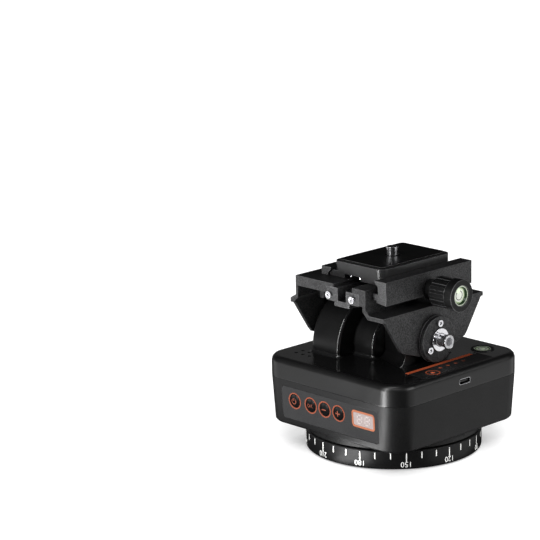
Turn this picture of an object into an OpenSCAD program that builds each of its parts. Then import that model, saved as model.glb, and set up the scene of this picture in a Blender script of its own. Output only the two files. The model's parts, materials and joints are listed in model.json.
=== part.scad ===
// Motorized pan and tilt head: a fixed round disc, a square body that pans on it, and a clamp bracket that
// tilts on the body's stepped turret. Front panel faces -Y, charging inlet faces +X.

/* [Base disc] */
// Radius of the pan disc
disc_r = 47.5; // [45:0.5:50]
// Height of the disc's top face above the ground
disc_top = 10.5; // [9.5:0.5:12]
// How far the rubber pad stands proud of the disc
pad_show = 0.4; // [0.3:0.1:0.8]
// Width of the rubber pad ring
pad_w = 17; // [8:1:18]
// Radius of the tripod thread, quarter inch or three eighths
tripod_r = 3.175; // [3.175, 4.7625]
// Depth of the tripod thread
tripod_depth = 10; // [8:0.5:11]
// Gap between the disc and the head
base_gap = 1; // [0.8:0.1:1.6]

/* [Body] */
// Side of the square body
body_w = 100; // [98:1:106]
// Corner radius of the body in plan
body_corner = 13.2; // [11:0.2:14]
// Height of the round collar under the case
collar_h = 2.6; // [2:0.1:3.5]
// Height of the lower case
case_h = 25.5; // [25:0.5:28]
// How far each side of the lower case leans in at the bottom
case_lean = 1.65; // [0.6:0.05:2]
// Height of the upper cover
cover_h = 11.4; // [11:0.2:13]
// Size of the rounded top edge of the cover
edge_round = 3.2; // [1.6:0.2:4]
// Wall of the case and cover
wall = 2.2; // [1.8:0.1:2.4]
// Thickness of the case floor and the cover roof
plate_t = 2.5; // [2:0.1:3]

/* [Turret] */
// Height of the tilt axis over the cover's top
axis_lift = 13; // [12.8:0.2:15]
// Left end of the large lobe
big_lobe_left = -33.7; // [-34:0.1:-33]
// Joint between the large and the middle lobe
big_lobe_right = -12.6; // [-14:0.2:-12]
// Radius of the large lobe
big_lobe_r = 29.2; // [29:0.2:30]
// Right end of the middle lobe
mid_lobe_right = 2; // [1:0.5:4]
// Radius of the middle lobe
mid_lobe_r = 17.6; // [16:0.2:19]
// Right end of the waisted lobe
waist_right = 24; // [23.5:0.1:24.5]
// Half width of the waisted lobe at its left end
waist_narrow = 8.5; // [8.2:0.1:9.5]
// Half width of the waisted lobe at its right end
waist_wide = 16.5; // [14:0.5:17]
// Radius of the flare at the foot of the waisted lobe
flare_r = 5; // [3:0.5:6]
// Bevel on the right end edges of the lobes
lobe_edge = 0.8; // [0.4:0.1:1.2]
// Bevel on the large lobe's left end, which clears the bracket as it tilts
lobe_relief = 2; // [2:0.1:2.6]
// Wall of the turret
lobe_wall = 2.4; // [2:0.1:2.8]

/* [Front panel] */
// Width of the control panel
panel_w = 70.7; // [66:0.5:71]
// Height of the control panel
panel_h = 18; // [16:0.5:19]
// Height of the panel's middle above the case's lower edge
panel_rise = 12.9; // [12.5:0.1:13.5]
// Height of the button row above the panel's middle
button_rise = 2; // [0.5:0.1:2.5]
// Radius of a button
button_r = 3.6; // [3:0.1:3.8]
// Width of the ring round a button
ring_w = 0.65; // [0.4:0.05:0.8]
// How far a button travels
button_travel = 0.8; // [0.5:0.1:0.9]
// Place of the power button along the panel
power_x = -25.8; // [-27:0.1:-25]
// Place of the mode button along the panel
mode_x = -13.8; // [-14.5:0.1:-13.2]
// Place of the minus button along the panel
minus_x = -3.5; // [-3.8:0.1:-3]
// Place of the plus button along the panel
plus_x = 6.7; // [6.5:0.1:7]
// Middle of the display along the panel
display_x = 24.6; // [23:0.1:25]
// Width of the display with its frame
display_w = 16.1; // [14:0.1:17]
// Height of the display with its frame
display_h = 8.5; // [7:0.1:9]
// Width of the display's frame
frame_w = 0.7; // [0.5:0.1:1]

/* [Inlet and top] */
// Place of the charging inlet along the right side
inlet_y = 1.7; // [0:0.1:3]
// Width of the charging inlet's shell
inlet_w = 8.94; // [8.8:0.02:9.1]
// Height of the charging inlet's shell
inlet_h = 3.26; // [3.2:0.02:3.4]
// Left edge of the top label
label_left = 33; // [32.5:0.1:34]
// Right edge of the top label
label_right = 46.3; // [45.6:0.1:46.6]
// Front end of the top label
label_front = -26; // [-28:0.5:-25]
// Length of the top label
label_len = 54; // [53:0.5:55]
// Width of the coloured stripe along the label
stripe_w = 2.3; // [1.6:0.1:2.6]
// Length of the coloured stripe
stripe_len = 50; // [44:1:52]
// Place of the top level, to the right
level_x = 32; // [31:0.2:33]
// Place of the top level, to the back
level_y = 36; // [36:0.2:37]
// Radius of the top level's vial
vial_r = 4.75; // [4:0.05:5]
// Width of the top level's bezel
bezel_w = 1.5; // [1:0.1:1.8]
// Radius of a sound hole
sound_r = 0.9; // [0.6:0.1:1.2]
// Spacing of the sound holes
sound_pitch = 5; // [4:0.2:5.4]

/* [Bracket] */
// Length of the bracket, front to back
bracket_len = 78; // [76:1:80]
// Outer face of the left side plate
left_face = -38.3; // [-39:0.1:-38]
// Outer face of the right side plate
right_face = 29.7; // [29.5:0.1:30.5]
// Thickness of the side plates
side_t = 2.2; // [1.8:0.1:2.4]
// Height of the clamp bed above the tilt axis
bed_rise = 31; // [30.5:0.1:32]
// Thickness of the left bed plate
bed_t = 5.6; // [5:0.1:6]
// Outer face of the left upright wall
left_wall_x = -34.2; // [-34.6:0.1:-33.6]
// Right end of the left bed plate
left_bed_end = -6; // [-7:0.1:-5.5]
// Outer face of the right upright wall
right_wall_x = 17; // [16.8:0.1:17.2]
// Thickness of the right upright wall
right_wall_t = 4.6; // [4:0.1:5]
// Left end of the right bed flange
right_bed_end = 7.5; // [6:0.1:8]
// Thickness of the lower right flange
foot_t = 2.4; // [2:0.1:2.8]
// Half width of the channel's slot
slot_half = 2.95; // [2.5:0.05:3.2]
// Wall of the channel
channel_wall = 2.45; // [2:0.05:2.8]
// Depth of the channel's slot below the bed
slot_depth = 8.8; // [8.4:0.1:9.4]
// Half width at the lower corners of a side plate
shield_half = 26.5; // [24:0.5:28]
// Half width of a side plate's lower end
shield_foot = 11.3; // [9:0.1:12]
// How far a side plate reaches below the tilt axis
shield_drop = 7.8; // [7:0.1:8.2]
// Radius of the hub flanges
hub_r = 12.3; // [11.6:0.1:12.6]
// Thickness of the hub flanges
hub_t = 3.3; // [2.8:0.1:3.6]
// Radius of the tilt shaft
shaft_r = 3.65; // [3.4:0.05:3.9]
// Radius of the hole in the shaft's end
shaft_hole_r = 2.3; // [1.8:0.1:2.4]
// How far the shaft's end stands out past the washer
shaft_show = 5.9; // [4.5:0.1:6.5]
// Radius of the hub washer
washer_r = 6.2; // [5.4:0.1:6.4]
// Thickness of the hub washer
washer_t = 1.4; // [1:0.1:1.6]

/* [Clamp] */
// Length of the moving jaw
jaw_len = 66.8; // [64:0.2:70]
// Outer face of the moving jaw
jaw_face = 26.5; // [26.2:0.1:27]
// Height of the jaws' lips above the bed
lip_rise = 4.7; // [4.5:0.1:5.2]
// Height of the moving jaw
jaw_h = 12.6; // [12.2:0.1:13]
// Opening travel of the moving jaw
jaw_travel = 3; // [2:0.5:3]
// Length of the fixed jaw
fixed_jaw_len = 56; // [52:1:60]
// Width of the fixed jaw
fixed_jaw_w = 7; // [6:0.1:7.5]
// Height of the clamp screw's axis below the bed
screw_drop = 4.7; // [4.6:0.1:5]
// Radius of the clamp screw
screw_r = 2.5; // [2:0.1:2.6]
// Radius of the knob's neck
neck_r = 5.5; // [5:0.1:6]
// Length of the knob's neck
neck_len = 6.4; // [5.5:0.1:7]
// Radius over the knob's ribs
grip_r = 8.3; // [7.8:0.1:8.5]
// Length of the ribbed grip
grip_len = 10.4; // [9:0.1:12]
// Number of ribs on the grip
rib_count = 14; // [10:1:16]
// Radius of the knob's end rim
rim_r = 8.6; // [8.5:0.1:9]
// Length of the knob's end rim
rim_len = 5.3; // [4.8:0.1:6]
// Radius of the level in the knob's end
knob_vial_r = 5.5; // [4.5:0.1:5.8]

/* [Quick release plate] */
// Half width of the dovetail at the bottom
dovetail_half = 20.2; // [20:0.1:20.3]
// Half width of the plate above the dovetail
plate_half = 18.1; // [17.9:0.1:18.4]
// Length of the plate
plate_len = 54; // [50:1:56]
// Height of the plate
plate_h = 8.5; // [8:0.1:9.5]
// Corner radius of the plate's top
plate_corner = 4.8; // [3:0.1:6]
// Thickness of the rubber pad on the plate
plate_pad_t = 0.8; // [0.5:0.1:1.2]
// Radius of the camera screw
camera_r = 3.175; // [3.1:0.025:3.2]
// Length of the camera screw above the pad
camera_len = 4.7; // [4:0.1:5.5]

/* [Drives] */
// Gear module of both drives
gear_module = 1.5; // [1.45:0.05:1.5]
// Teeth of the fixed pan gear
pan_teeth = 36; // [33:1:36]
// Teeth of the tilt gear
tilt_teeth = 32; // [30:1:32]
// Teeth of the pinions
pinion_teeth = 12; // [11:1:12]
// Thickness of the gears
gear_t = 4; // [3:0.5:4.5]
// Radius of the pan spindle
spindle_r = 11; // [10.5:0.5:11.5]
// Radius of the tripod bush
bush_r = 8; // [7.5:0.1:8.4]

/* [Fits] */
// Radial clearance of a running fit
run_fit = 0.06; // [0.03:0.01:0.08]
// Gap between pieces that move past each other
move_gap = 0.3; // [0.25:0.05:0.35]
// Gap round a screw in its through hole
screw_gap = 0.2; // [0.1:0.05:0.25]

/* [Hidden] */
fine = 96;
cut = 0.5;
far = 200;

head_z = disc_top + base_gap;
case_z = head_z + collar_h;
seam_z = case_z + case_h;
top_z = seam_z + cover_h;
axis_z = top_z + axis_lift;
floor_z = case_z + plate_t;
roof_z = top_z - plate_t;
face_angle = atan2(case_lean, case_h);
case_bevel = 1.2;
case_inner_corner = 8;
case_inside = body_w / 2 - case_lean - wall;
cover_inside = body_w / 2 - wall;

pad_edge = 4.5;
pad_out = disc_r - pad_edge;
pad_in = pad_out - pad_w;
pad_seat = 1.6;
disc_edge = 0.5;
flange_w = 7;
flange_r = spindle_r + flange_w;
flange_sink = 4;
flange_z = disc_top - flange_sink;
flange_t = 3.8;
base_screw_place = (bush_r + flange_r) / 2;
base_screw_r = 1.5;
base_screw_head_r = 2.8;
base_screw_head_h = 2.5;
base_screw_sink = 0.5;
base_screw_head_z = pad_show + base_screw_sink;
thrust_in = 30;
thrust_w = 8;
thrust_gap = 0.1;
collar_r = disc_r;
bush_cap = 1.5;
bush_top = pad_show + tripod_depth + bush_cap;
pan_bush_wall = 2.5;
pan_bush_flange = 0.8;
pan_bush_flange_w = 2;
pan_gear_gap = 0.5;
pan_gear_z = floor_z + pan_bush_flange + pan_gear_gap;
nut_h = 3.2;
nut_w = 4;
nut_r = spindle_r + nut_w;
spindle_end = 0.5;
spindle_top = pan_gear_z + gear_t + nut_h + spindle_end;

pressure_angle = 25;
backlash = 0.12;
pan_pitch = gear_module * pan_teeth / 2;
tilt_pitch = gear_module * tilt_teeth / 2;
pinion_pitch = gear_module * pinion_teeth / 2;
pinion_over = 0.5;
pan_drive_angle = 45;
pan_reach = pan_pitch + pinion_pitch;
tilt_drive_angle = 230;
tilt_reach = tilt_pitch + pinion_pitch;
tilt_pinion_y = tilt_reach * cos(tilt_drive_angle);
tilt_pinion_z = axis_z + tilt_reach * sin(tilt_drive_angle);
tilt_gear_x = -26;
sector_half = 27;
gear_hub_r = 7;
drive_shaft_r = 2;
drive_shaft_len = 7;
motor_gap = 1;
pan_motor_r = 12.5;
pan_motor_h = 14;
motor_plate_t = 1.5;
motor_post_reach = 16;
motor_post_r = 3;
motor_ear_w = 10;
motor_wall_gap = 0.4;
motor_ear_end = motor_post_reach + motor_post_r;
motor_screw_grip = 4;
drive_shaft_end = 1;
pan_motor_z = pan_gear_z + gear_t + pinion_over + motor_gap;
tilt_motor_r = 9;
tilt_can_r = 7.5;
tilt_motor_gap = 5;
tilt_motor_x = tilt_gear_x + gear_t + pinion_over + tilt_motor_gap;
tilt_gearbox_len = 12;
tilt_motor_len = 28;
saddle_t = 3;
saddle_inset = 2;
saddle_gap = 0.8;
saddle_y = -(pan_pitch + gear_module + saddle_gap);
saddle_w = 3.8;

post_inset = 10;
post_place = body_w / 2 - post_inset;
post_r = 4.5;
case_screw_r = 1.5;
case_screw_head_r = 2.9;
case_screw_head_h = 2.6;
case_screw_sink = 0.9;
case_screw_reach = 6;

big_lobe_rise = 2.8;
big_lobe_z = top_z + big_lobe_rise;
mid_lobe_rise = 5;
mid_lobe_z = top_z + mid_lobe_rise;
waist_lobe_rise = 6;
waist_lobe_z = top_z + waist_lobe_rise;
waist_crown = 0.5;
waist_hollow_rise = 2;
lobe_root = 0.6;
waist_angle = atan2(waist_wide - waist_narrow, waist_right - mid_lobe_right);
waist_hollow = waist_narrow - lobe_wall;
bearing_wall = 2.4;
bearing_r = shaft_r + bearing_wall;
bearing_flange_w = 1.5;
bearing_flange_r = bearing_r + bearing_flange_w;
bearing_flange_t = 1.2;

button_places = [power_x, mode_x, minus_x, plus_x];
panel_inset = 0.2;
panel_t = 0.8;
panel_corner = 2;
panel_seat = panel_inset + panel_t;
panel_drop = (case_h - panel_rise) / cos(face_angle);
print_show = 0.1;
print_t = 0.4;
button_proud = 0.65;
button_dome_r = 9;
button_flange_w = 0.9;
button_flange_t = 0.8;
button_row_z = seam_z - (panel_drop - button_rise) * cos(face_angle);
button_wall = (body_w / 2 - case_inside - (panel_drop - button_rise) * sin(face_angle)) / cos(face_angle);
button_play = 0.55;
button_seat = button_wall + button_play;
switch_gap = 0.25;
switch_t = 0.9;
switch_place = button_seat + button_flange_t + button_travel + switch_gap;
switch_depth = switch_place + switch_t;
switch_front = -body_w / 2 + (panel_drop - button_rise) * sin(face_angle) + switch_place;
switch_w = 6;
board_t = 1.4;
switch_board_y = switch_front + switch_t;
switch_post_gap = 1.5;
switch_board_w = 2 * (post_place - post_r - switch_post_gap);
switch_board_h = 18;
board_post_r = 1.8;
board_post_edge = 3;
board_post_x = switch_board_w / 2 - board_post_edge;
board_post_rise = 6.5;
module_gap = 0.4;
window_w = display_w - 2 * frame_w;
window_h = display_h - 2 * frame_w;
display_corner = 1.2;
window_corner = display_corner - frame_w;
module_edge = 0.5;
module_w = window_w - 2 * module_edge;
module_h = window_h - 2 * module_edge;
module_front = -body_w / 2 + panel_seat / cos(face_angle) + (panel_drop + panel_h / 2) * sin(face_angle);

inlet_rise = 4.6;
inlet_z = seam_z + inlet_rise;
inlet_depth = 8;
inlet_back = 1;
inlet_shell = 0.3;
inlet_recess = 0.3;
inlet_gap = 0.1;
tongue_side = 1.15;
tongue_w = inlet_w - 2 * tongue_side;
tongue_inset = 1;
tongue_t = 0.7;
main_board_t = 1.6;
main_board_z = inlet_z - inlet_h / 2 - main_board_t;
main_board_left = 17;
main_board_post_gap = 1.5;
main_board_gap = 1.8;
main_board_right = cover_inside - main_board_gap;
main_board_front = main_board_post_gap + post_r - post_place;
main_board_back = 10;
main_post_r = 2.2;
main_post_in = 5;
main_post_edge = 4;
main_posts = [[main_board_left + main_post_in, main_board_front + main_post_in],
    [main_board_right - main_post_edge, main_board_front + main_post_in],
    [main_board_left + main_post_in, main_board_back - main_post_edge]];

level_gap = 0.3;
film_t = 0.45;
film_show = 0.15;
film_gap = 0.2;
icon_side = 3.7;
icon_x = label_right - icon_side;
icon_in = 10.6;
icon_y = label_front + icon_in;
icon_r = 3.9;
icon_w = 0.6;
lamp_r = 1.3;
small_lamp_r = 1.1;
lamp_show = 0.15;
lamp_side = 6.7;
lamp_x = label_right - lamp_side;
lamp_in = 19.8;
lamp_first = label_front + lamp_in;
lamp_pitch = 6;
small_lamps = 4;
lamps = concat([[icon_x, icon_y, lamp_r]],
    [for (i = [0:small_lamps - 1]) [lamp_x, lamp_first + i * lamp_pitch, small_lamp_r]]);
bezel_show = 0.4;
bezel_depth = 1.5;
vial_show = 0.2;
vial_h = 3.6;
cup_wall = 1;
sound_in_x = 3;
sound_in_y = 3.5;
sound_x = sound_in_x - post_place;
sound_y = sound_in_y - post_place;
buzzer_r = 5.8;
buzzer_h = 4;
buzzer_in_x = 7;
buzzer_in_y = 8;
buzzer_x = buzzer_in_x - post_place;
buzzer_y = buzzer_in_y - post_place;

battery_post_gap = 0.5;
battery_left = battery_post_gap + post_r - post_place;
battery_motor_gap = 1.485;
battery_right = (pan_reach - motor_ear_w / 2 - motor_ear_end) * cos(pan_drive_angle) - battery_motor_gap;
battery_w = battery_right - battery_left;
battery_nut_gap = 1;
battery_front = nut_r + battery_nut_gap;
battery_wall_gap = 3.15;
battery_d = case_inside - battery_wall_gap - battery_front;
battery_h = 13.5;
battery_gap = 1.5;
battery_z = pan_gear_z + gear_t + battery_gap;
battery_rib_t = 3;
battery_rib_gap = 1;

bed_z = axis_z + bed_rise;
bed_under = bed_z - bed_t;
lip_t = 1.7;
shoulder = 18;
foot_z = axis_z + shoulder;
left_wall_t = 1.7;
left_elbow_in = 1;
left_elbow_out = 2.4;
right_elbow = 2.5;
right_elbow_in = 1.5;
thin_wall_rise = 0.4;
box_left = -11.2;
box_top_left = bed_z - lip_t;
bed_flange_t = 2.7;
box_top_right = bed_z - bed_flange_t;
box_right = right_wall_x - right_wall_t;
box_drop = 9.4;
box_floor = bed_z - box_drop;
slot_floor = bed_z - slot_depth;
channel_base = 3;
channel_floor = slot_floor - channel_base;
shield_edge_drop = 1;
shield_bevel_w = 2;
shield_bevel_h = 2.4;
lug_x = -28;
lug_y = -27;
lug_w = 3;
lug_h = 8;
end_screw_r = 1.2;
end_screw_head_r = 2;
end_screw_head_h = 1.3;
end_screw_len = 9;
end_screw_places = [-8.9, 7.9];
end_screw_drop = 6.4;
end_screw_z = bed_z - end_screw_drop;
cross_w = 0.6;
cross_len = 2.4;
cross_depth = 0.7;
hub_step = 0.5;
hub_step_t = 1.2;
hub_screw_place = 8.9;
hub_screw_r = 1.1;
hub_screw_head_r = 1.9;
hub_screw_head_h = 1.5;
three_ways = [90, 210, 330];
socket_share = 0.8;
shaft_right = right_face + hub_t + washer_t + shaft_show;
shaft_stub = 0.8;
shaft_left = left_face - hub_t - shaft_stub;
shaft_hole_depth = 9;
shaft_neck = 0.3;
shaft_cap_len = 1.9;

jaw_gap = 0.4;
lip_edge = 1.2;
lip_half = plate_half + jaw_gap;
recess_half = dovetail_half + jaw_gap;
slope_low = bed_z + lip_rise - lip_edge - (recess_half - lip_half);
jaw_top = bed_z + lip_rise;
jaw_bottom = jaw_top - jaw_h;
tooth_gap = 0.4;
tooth_x = right_wall_x + tooth_gap;
tooth_drop = 2.4;
tooth_top = bed_z - tooth_drop;
tooth_h = 3.2;
tooth_len = 2.2;
jaw_bevel = 0.9;
screw_z = bed_z - screw_drop;
pin_r = 1.5;
pin_place = 20;
pin_hold = 3.9;
pin_end = tooth_x + jaw_travel + pin_hold;
knob_gap = 0.3;
neck_start = jaw_face + knob_gap;
grip_start = neck_start + neck_len;
rim_start = grip_start + grip_len;
knob_end = rim_start + rim_len;
grip_wall = 0.9;
core_r = grip_r - grip_wall;
rib_h = 0.5;
rib_w = 2.2;
spindle_gap = 0.1;
knob_vial_h = 3.6;
knob_vial_sink = 0.5;

plate_gap = 0.2;
plate_z = bed_z + plate_gap;
plate_top = plate_z + plate_h;
dovetail_edge = 1.1;
dovetail_top = plate_z + dovetail_edge + (dovetail_half - plate_half);
pad_inset = 2.2;
notch_left = -9.5;
notch_w = 12;
notch_len = 6;
notch_h = 2.2;
stop_r = 1;
stop_h = 1.8;
stop_places = [-6.3, 0.3];
stop_inset = 2.2;
camera_head_r = 8.5;
camera_head_h = 3;
camera_head_gap = 0.5;
camera_head_sink = 0.5;
camera_head_z = plate_z + camera_head_sink;
camera_pad_gap = 1;
camera_shank_step = 0.5;
camera_slot_w = 1.6;
camera_slot_h = 1.2;

black = [0.10, 0.10, 0.11];
dark = [0.16, 0.16, 0.17];
steel = [0.72, 0.73, 0.75];
orange = [0.91, 0.41, 0.23];
green = [0.72, 0.85, 0.62];

// Turns a flat outline so that its x runs along +Y, its y along +Z and its thickness along +X
module along_x() {
    rotate([90, 0, 90])
        children();
}

// Stands a flat outline up in the XZ plane, with its thickness shared each way along Y
module along_y(length) {
    rotate([90, 0, 0])
        linear_extrude(length, center = true)
            children();
}

// A round bar along +X from one place to another
module bar_x(from, to, r, y = 0, z = 0) {
    translate([from, y, z])
        rotate([0, 90, 0])
            cylinder(h = to - from, r = r, $fn = fine);
}

// Square outline with round corners
module round_square(side, r) {
    round_rect(side, side, r);
}

// Rectangle outline with round corners
module round_rect(w, h, r) {
    square([w - 2 * r, h], center = true);
    square([w, h - 2 * r], center = true);
    for (x = [-1, 1], y = [-1, 1])
        translate([x * (w / 2 - r), y * (h / 2 - r)])
            circle(r, $fn = fine);
}

// Slab whose round-cornered square outline grows or shrinks evenly with height
module leaning_slab(low_side, high_side, seat, low_z, high_z) {
    h = high_z - low_z;
    translate([0, 0, low_z]) {
        for (x = [-1, 1], y = [-1, 1])
            translate([x * seat, y * seat, 0])
                cylinder(h = h, r1 = low_side / 2 - seat, r2 = high_side / 2 - seat, $fn = fine);
        for (a = [0, 90])
            rotate([90, 0, a])
                linear_extrude(2 * seat, center = true)
                    polygon([[-low_side / 2, 0], [low_side / 2, 0], [high_side / 2, h], [-high_side / 2, h]]);
    }
}

// Places children on the leaning front face, with +Y into the case and the seam at zero height
module on_front_face() {
    translate([0, -body_w / 2, seam_z])
        rotate([face_angle, 0, 0])
            children();
}

// A flat outline of the front face, raised from one depth to another
module face_plate(from, to) {
    on_front_face()
        translate([0, from, 0])
            rotate([-90, 0, 0])
                mirror([0, 1, 0])
                    linear_extrude(to - from)
                        children();
}

// A round bar square to the front face at the button row
module face_bar(x, from, to, r) {
    face_plate(from, to)
        translate([x, button_rise - panel_drop])
            circle(r, $fn = fine);
}

function inv(a) = tan(a) * 180 / PI - a;
function polar(r, a) = [r * cos(a), r * sin(a)];

// Outline of an involute gear with a tooth on its x axis
module gear_outline(teeth) {
    pitch = gear_module * teeth / 2;
    base = pitch * cos(pressure_angle);
    root = pitch - 1.25 * gear_module;
    tip = pitch + gear_module;
    start = max(base, root);
    half = 90 / teeth - backlash / pitch * 180 / PI;
    steps = [0:2];
    rise = [for (i = steps) start + (tip - start) * i / 2];
    side = [for (r = rise) half + inv(pressure_angle) - inv(acos(min(1, base / r)))];
    polygon([for (t = [0:teeth - 1]) let (c = 360 * t / teeth) each concat(
        [polar(root, c - side[0])],
        [for (i = steps) polar(rise[i], c - side[i])],
        [for (i = steps) polar(rise[2 - i], c + side[2 - i])],
        [polar(root, c + side[0])])]);
}

// Cross recess cut into a screw head's face
module cross_cut(depth) {
    for (a = [0, 90])
        rotate([0, 0, a])
            cube([cross_len, cross_w, 2 * depth], center = true);
}

// Screw along +Z with its head below zero and its shank above
module socket_screw(head_r, head_h, shank_r, length) {
    difference() {
        translate([0, 0, -head_h])
            cylinder(h = head_h, r = head_r, $fn = fine);
        translate([0, 0, -head_h])
            cylinder(h = head_h, r = shank_r * socket_share, center = true, $fn = 6);
    }
    cylinder(h = length, r = shank_r, $fn = fine);
}

// Arch outline: round top on upright sides
module arch(r, centre, low) {
    intersection() {
        union() {
            translate([0, centre])
                circle(r, $fn = fine);
            translate([-r, low])
                square([2 * r, centre - low]);
        }
        translate([-r, low])
            square([2 * r, centre + r - low]);
    }
}

// Arched bar along +X that makes one lobe of the turret
module lobe(left, right, r, centre, low) {
    translate([left, 0, 0])
        along_x()
            linear_extrude(right - left)
                arch(r, centre, low);
}

// Bevelled end slice of a lobe, from its full outline at x to a smaller one further along
module lobe_bevel(x, way, edge, r, centre, low) {
    translate([x, 0, 0])
        mirror([way < 0 ? 1 : 0, 0, 0]) {
            intersection() {
                translate([0, 0, centre])
                    rotate([0, 90, 0])
                        cylinder(h = edge, r1 = r, r2 = r - edge, $fn = fine);
                translate([-cut, -far / 2, centre])
                    cube(far);
            }
            translate([0, 0, low])
                linear_extrude(centre - low)
                    polygon([[0, -r], [edge, edge - r], [edge, r - edge], [0, r]]);
        }
}

// One side of the waisted lobe: everything behind its leaning, flared front wall
module waist_wall() {
    low = top_z - lobe_root;
    knee = top_z + flare_r;
    translate([mid_lobe_right, -waist_narrow, 0])
        rotate([0, 0, -waist_angle])
            translate([-far / 4, 0, 0])
                along_x()
                    linear_extrude(far / 2)
                        difference() {
                            translate([-flare_r, low])
                                square([far / 2, axis_lift * 3]);
                            translate([-flare_r, knee])
                                circle(flare_r, $fn = fine);
                            translate([-2 * flare_r, knee])
                                square([2 * flare_r, axis_lift * 3]);
                        }
}

module waist_lobe() {
    low = top_z - lobe_root;
    intersection() {
        waist_wall();
        mirror([0, 1, 0])
            waist_wall();
        translate([mid_lobe_right, 0, 0])
            along_x()
                linear_extrude(waist_right - mid_lobe_right) {
                    translate([0, waist_lobe_z])
                        circle(waist_wide + waist_crown, $fn = fine);
                    translate([-far / 4, low])
                        square([far / 2, waist_lobe_z - low]);
                }
    }
}

module base_disc() {
    color(dark)
        difference() {
            rotate_extrude($fn = fine)
                polygon([[0, pad_show], [disc_r - disc_edge, pad_show], [disc_r, pad_show + disc_edge],
                    [disc_r, disc_top - disc_edge], [disc_r - disc_edge, disc_top], [0, disc_top]]);
            translate([0, 0, flange_z])
                cylinder(h = disc_top, r = flange_r, $fn = fine);
            cylinder(h = disc_top, r = bush_r, $fn = fine);
            difference() {
                cylinder(h = pad_seat, r = pad_out, $fn = fine);
                cylinder(h = pad_seat, r = pad_in, $fn = fine);
            }
            for (a = three_ways)
                rotate([0, 0, a])
                    translate([base_screw_place, 0, 0]) {
                        cylinder(h = disc_top, r = base_screw_r + screw_gap, $fn = fine);
                        cylinder(h = base_screw_head_z + base_screw_head_h,
                            r = base_screw_head_r + screw_gap, $fn = fine);
                    }
        }
}

module base_pad() {
    color(black)
        difference() {
            cylinder(h = pad_seat, r = pad_out, $fn = fine);
            translate([0, 0, -cut])
                cylinder(h = pad_seat + 2 * cut, r = pad_in, $fn = fine);
        }
}

module tripod_bush() {
    color(steel)
        difference() {
            translate([0, 0, pad_show])
                cylinder(h = bush_top - pad_show, r = bush_r, $fn = fine);
            translate([0, 0, pad_show - cut])
                cylinder(h = tripod_depth + cut, r = tripod_r, $fn = fine);
        }
}

module pan_spindle() {
    color(steel)
        difference() {
            union() {
                translate([0, 0, flange_z])
                    cylinder(h = flange_t, r = flange_r, $fn = fine);
                translate([0, 0, flange_z])
                    cylinder(h = spindle_top - flange_z, r = spindle_r, $fn = fine);
            }
            translate([0, 0, flange_z - cut])
                cylinder(h = bush_top - flange_z + cut, r = bush_r, $fn = fine);
            cylinder(h = far, r = bush_r / 2, $fn = fine);
            for (a = three_ways)
                rotate([0, 0, a])
                    translate([base_screw_place, 0, flange_z - cut])
                        cylinder(h = flange_t + 2 * cut, r = base_screw_r, $fn = fine);
        }
}

module base_screws() {
    head_top = base_screw_head_z + base_screw_head_h;
    color(steel)
        for (a = three_ways)
            rotate([0, 0, a])
                translate([base_screw_place, 0, head_top])
                    socket_screw(base_screw_head_r, base_screw_head_h, base_screw_r,
                        flange_z + flange_t - head_top);
}

module thrust_ring() {
    color([0.85, 0.85, 0.82])
        translate([0, 0, disc_top])
            difference() {
                cylinder(h = base_gap - thrust_gap, r = thrust_in + thrust_w, $fn = fine);
                translate([0, 0, -cut])
                    cylinder(h = base_gap + 2 * cut, r = thrust_in, $fn = fine);
            }
}

module pan_gear() {
    color([0.8, 0.78, 0.7])
        translate([0, 0, pan_gear_z])
            linear_extrude(gear_t)
                difference() {
                    rotate(pan_drive_angle)
                        gear_outline(pan_teeth);
                    circle(spindle_r, $fn = fine);
                }
}

module spindle_nut() {
    color(steel)
        translate([0, 0, pan_gear_z + gear_t])
            difference() {
                cylinder(h = nut_h, r = nut_r, $fn = 6);
                translate([0, 0, -cut])
                    cylinder(h = nut_h + 2 * cut, r = spindle_r, $fn = fine);
            }
}

module pan_bush() {
    color([0.75, 0.6, 0.3])
        difference() {
            union() {
                translate([0, 0, head_z])
                    cylinder(h = floor_z - head_z, r = spindle_r + pan_bush_wall, $fn = fine);
                translate([0, 0, floor_z])
                    cylinder(h = pan_bush_flange, r = spindle_r + pan_bush_wall + pan_bush_flange_w,
                        $fn = fine);
            }
            translate([0, 0, head_z - cut])
                cylinder(h = far, r = spindle_r + run_fit, $fn = fine);
        }
}

// Places children at the four case screws
module at_posts() {
    for (x = [-1, 1], y = [-1, 1])
        translate([x * post_place, y * post_place, 0])
            children();
}

module pan_motor_place() {
    rotate([0, 0, pan_drive_angle])
        translate([pan_reach, 0, 0])
            children();
}

// Inner posts and ribs that stand on the case floor
module case_ribs() {
    at_posts()
        translate([0, 0, case_z])
            cylinder(h = case_h, r = post_r, $fn = fine);
    pan_motor_place()
        for (y = [-1, 1])
            translate([0, y * motor_post_reach, case_z])
                cylinder(h = pan_motor_z - case_z, r = motor_post_r, $fn = fine);
    for (x = [tilt_motor_x + saddle_inset, tilt_motor_x + tilt_gearbox_len - saddle_t])
        translate([x, saddle_y - saddle_w, case_z])
            cube([saddle_t, saddle_w, tilt_pinion_z - case_z]);
    rib_y = pan_pitch + gear_module + battery_rib_gap;
    for (x = [battery_left, battery_left + battery_w - battery_rib_t])
        translate([x, rib_y, case_z])
            cube([battery_rib_t, battery_front + battery_d - rib_y, battery_z - case_z]);
    for (x = [-1, 1], z = [-1, 1])
        translate([x * board_post_x, 0, button_row_z - button_rise + z * board_post_rise])
            rotate([90, 0, 0])
                translate([0, 0, -switch_board_y])
                    cylinder(h = case_inside + switch_board_y + cut, r = board_post_r, $fn = fine);
}

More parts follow.
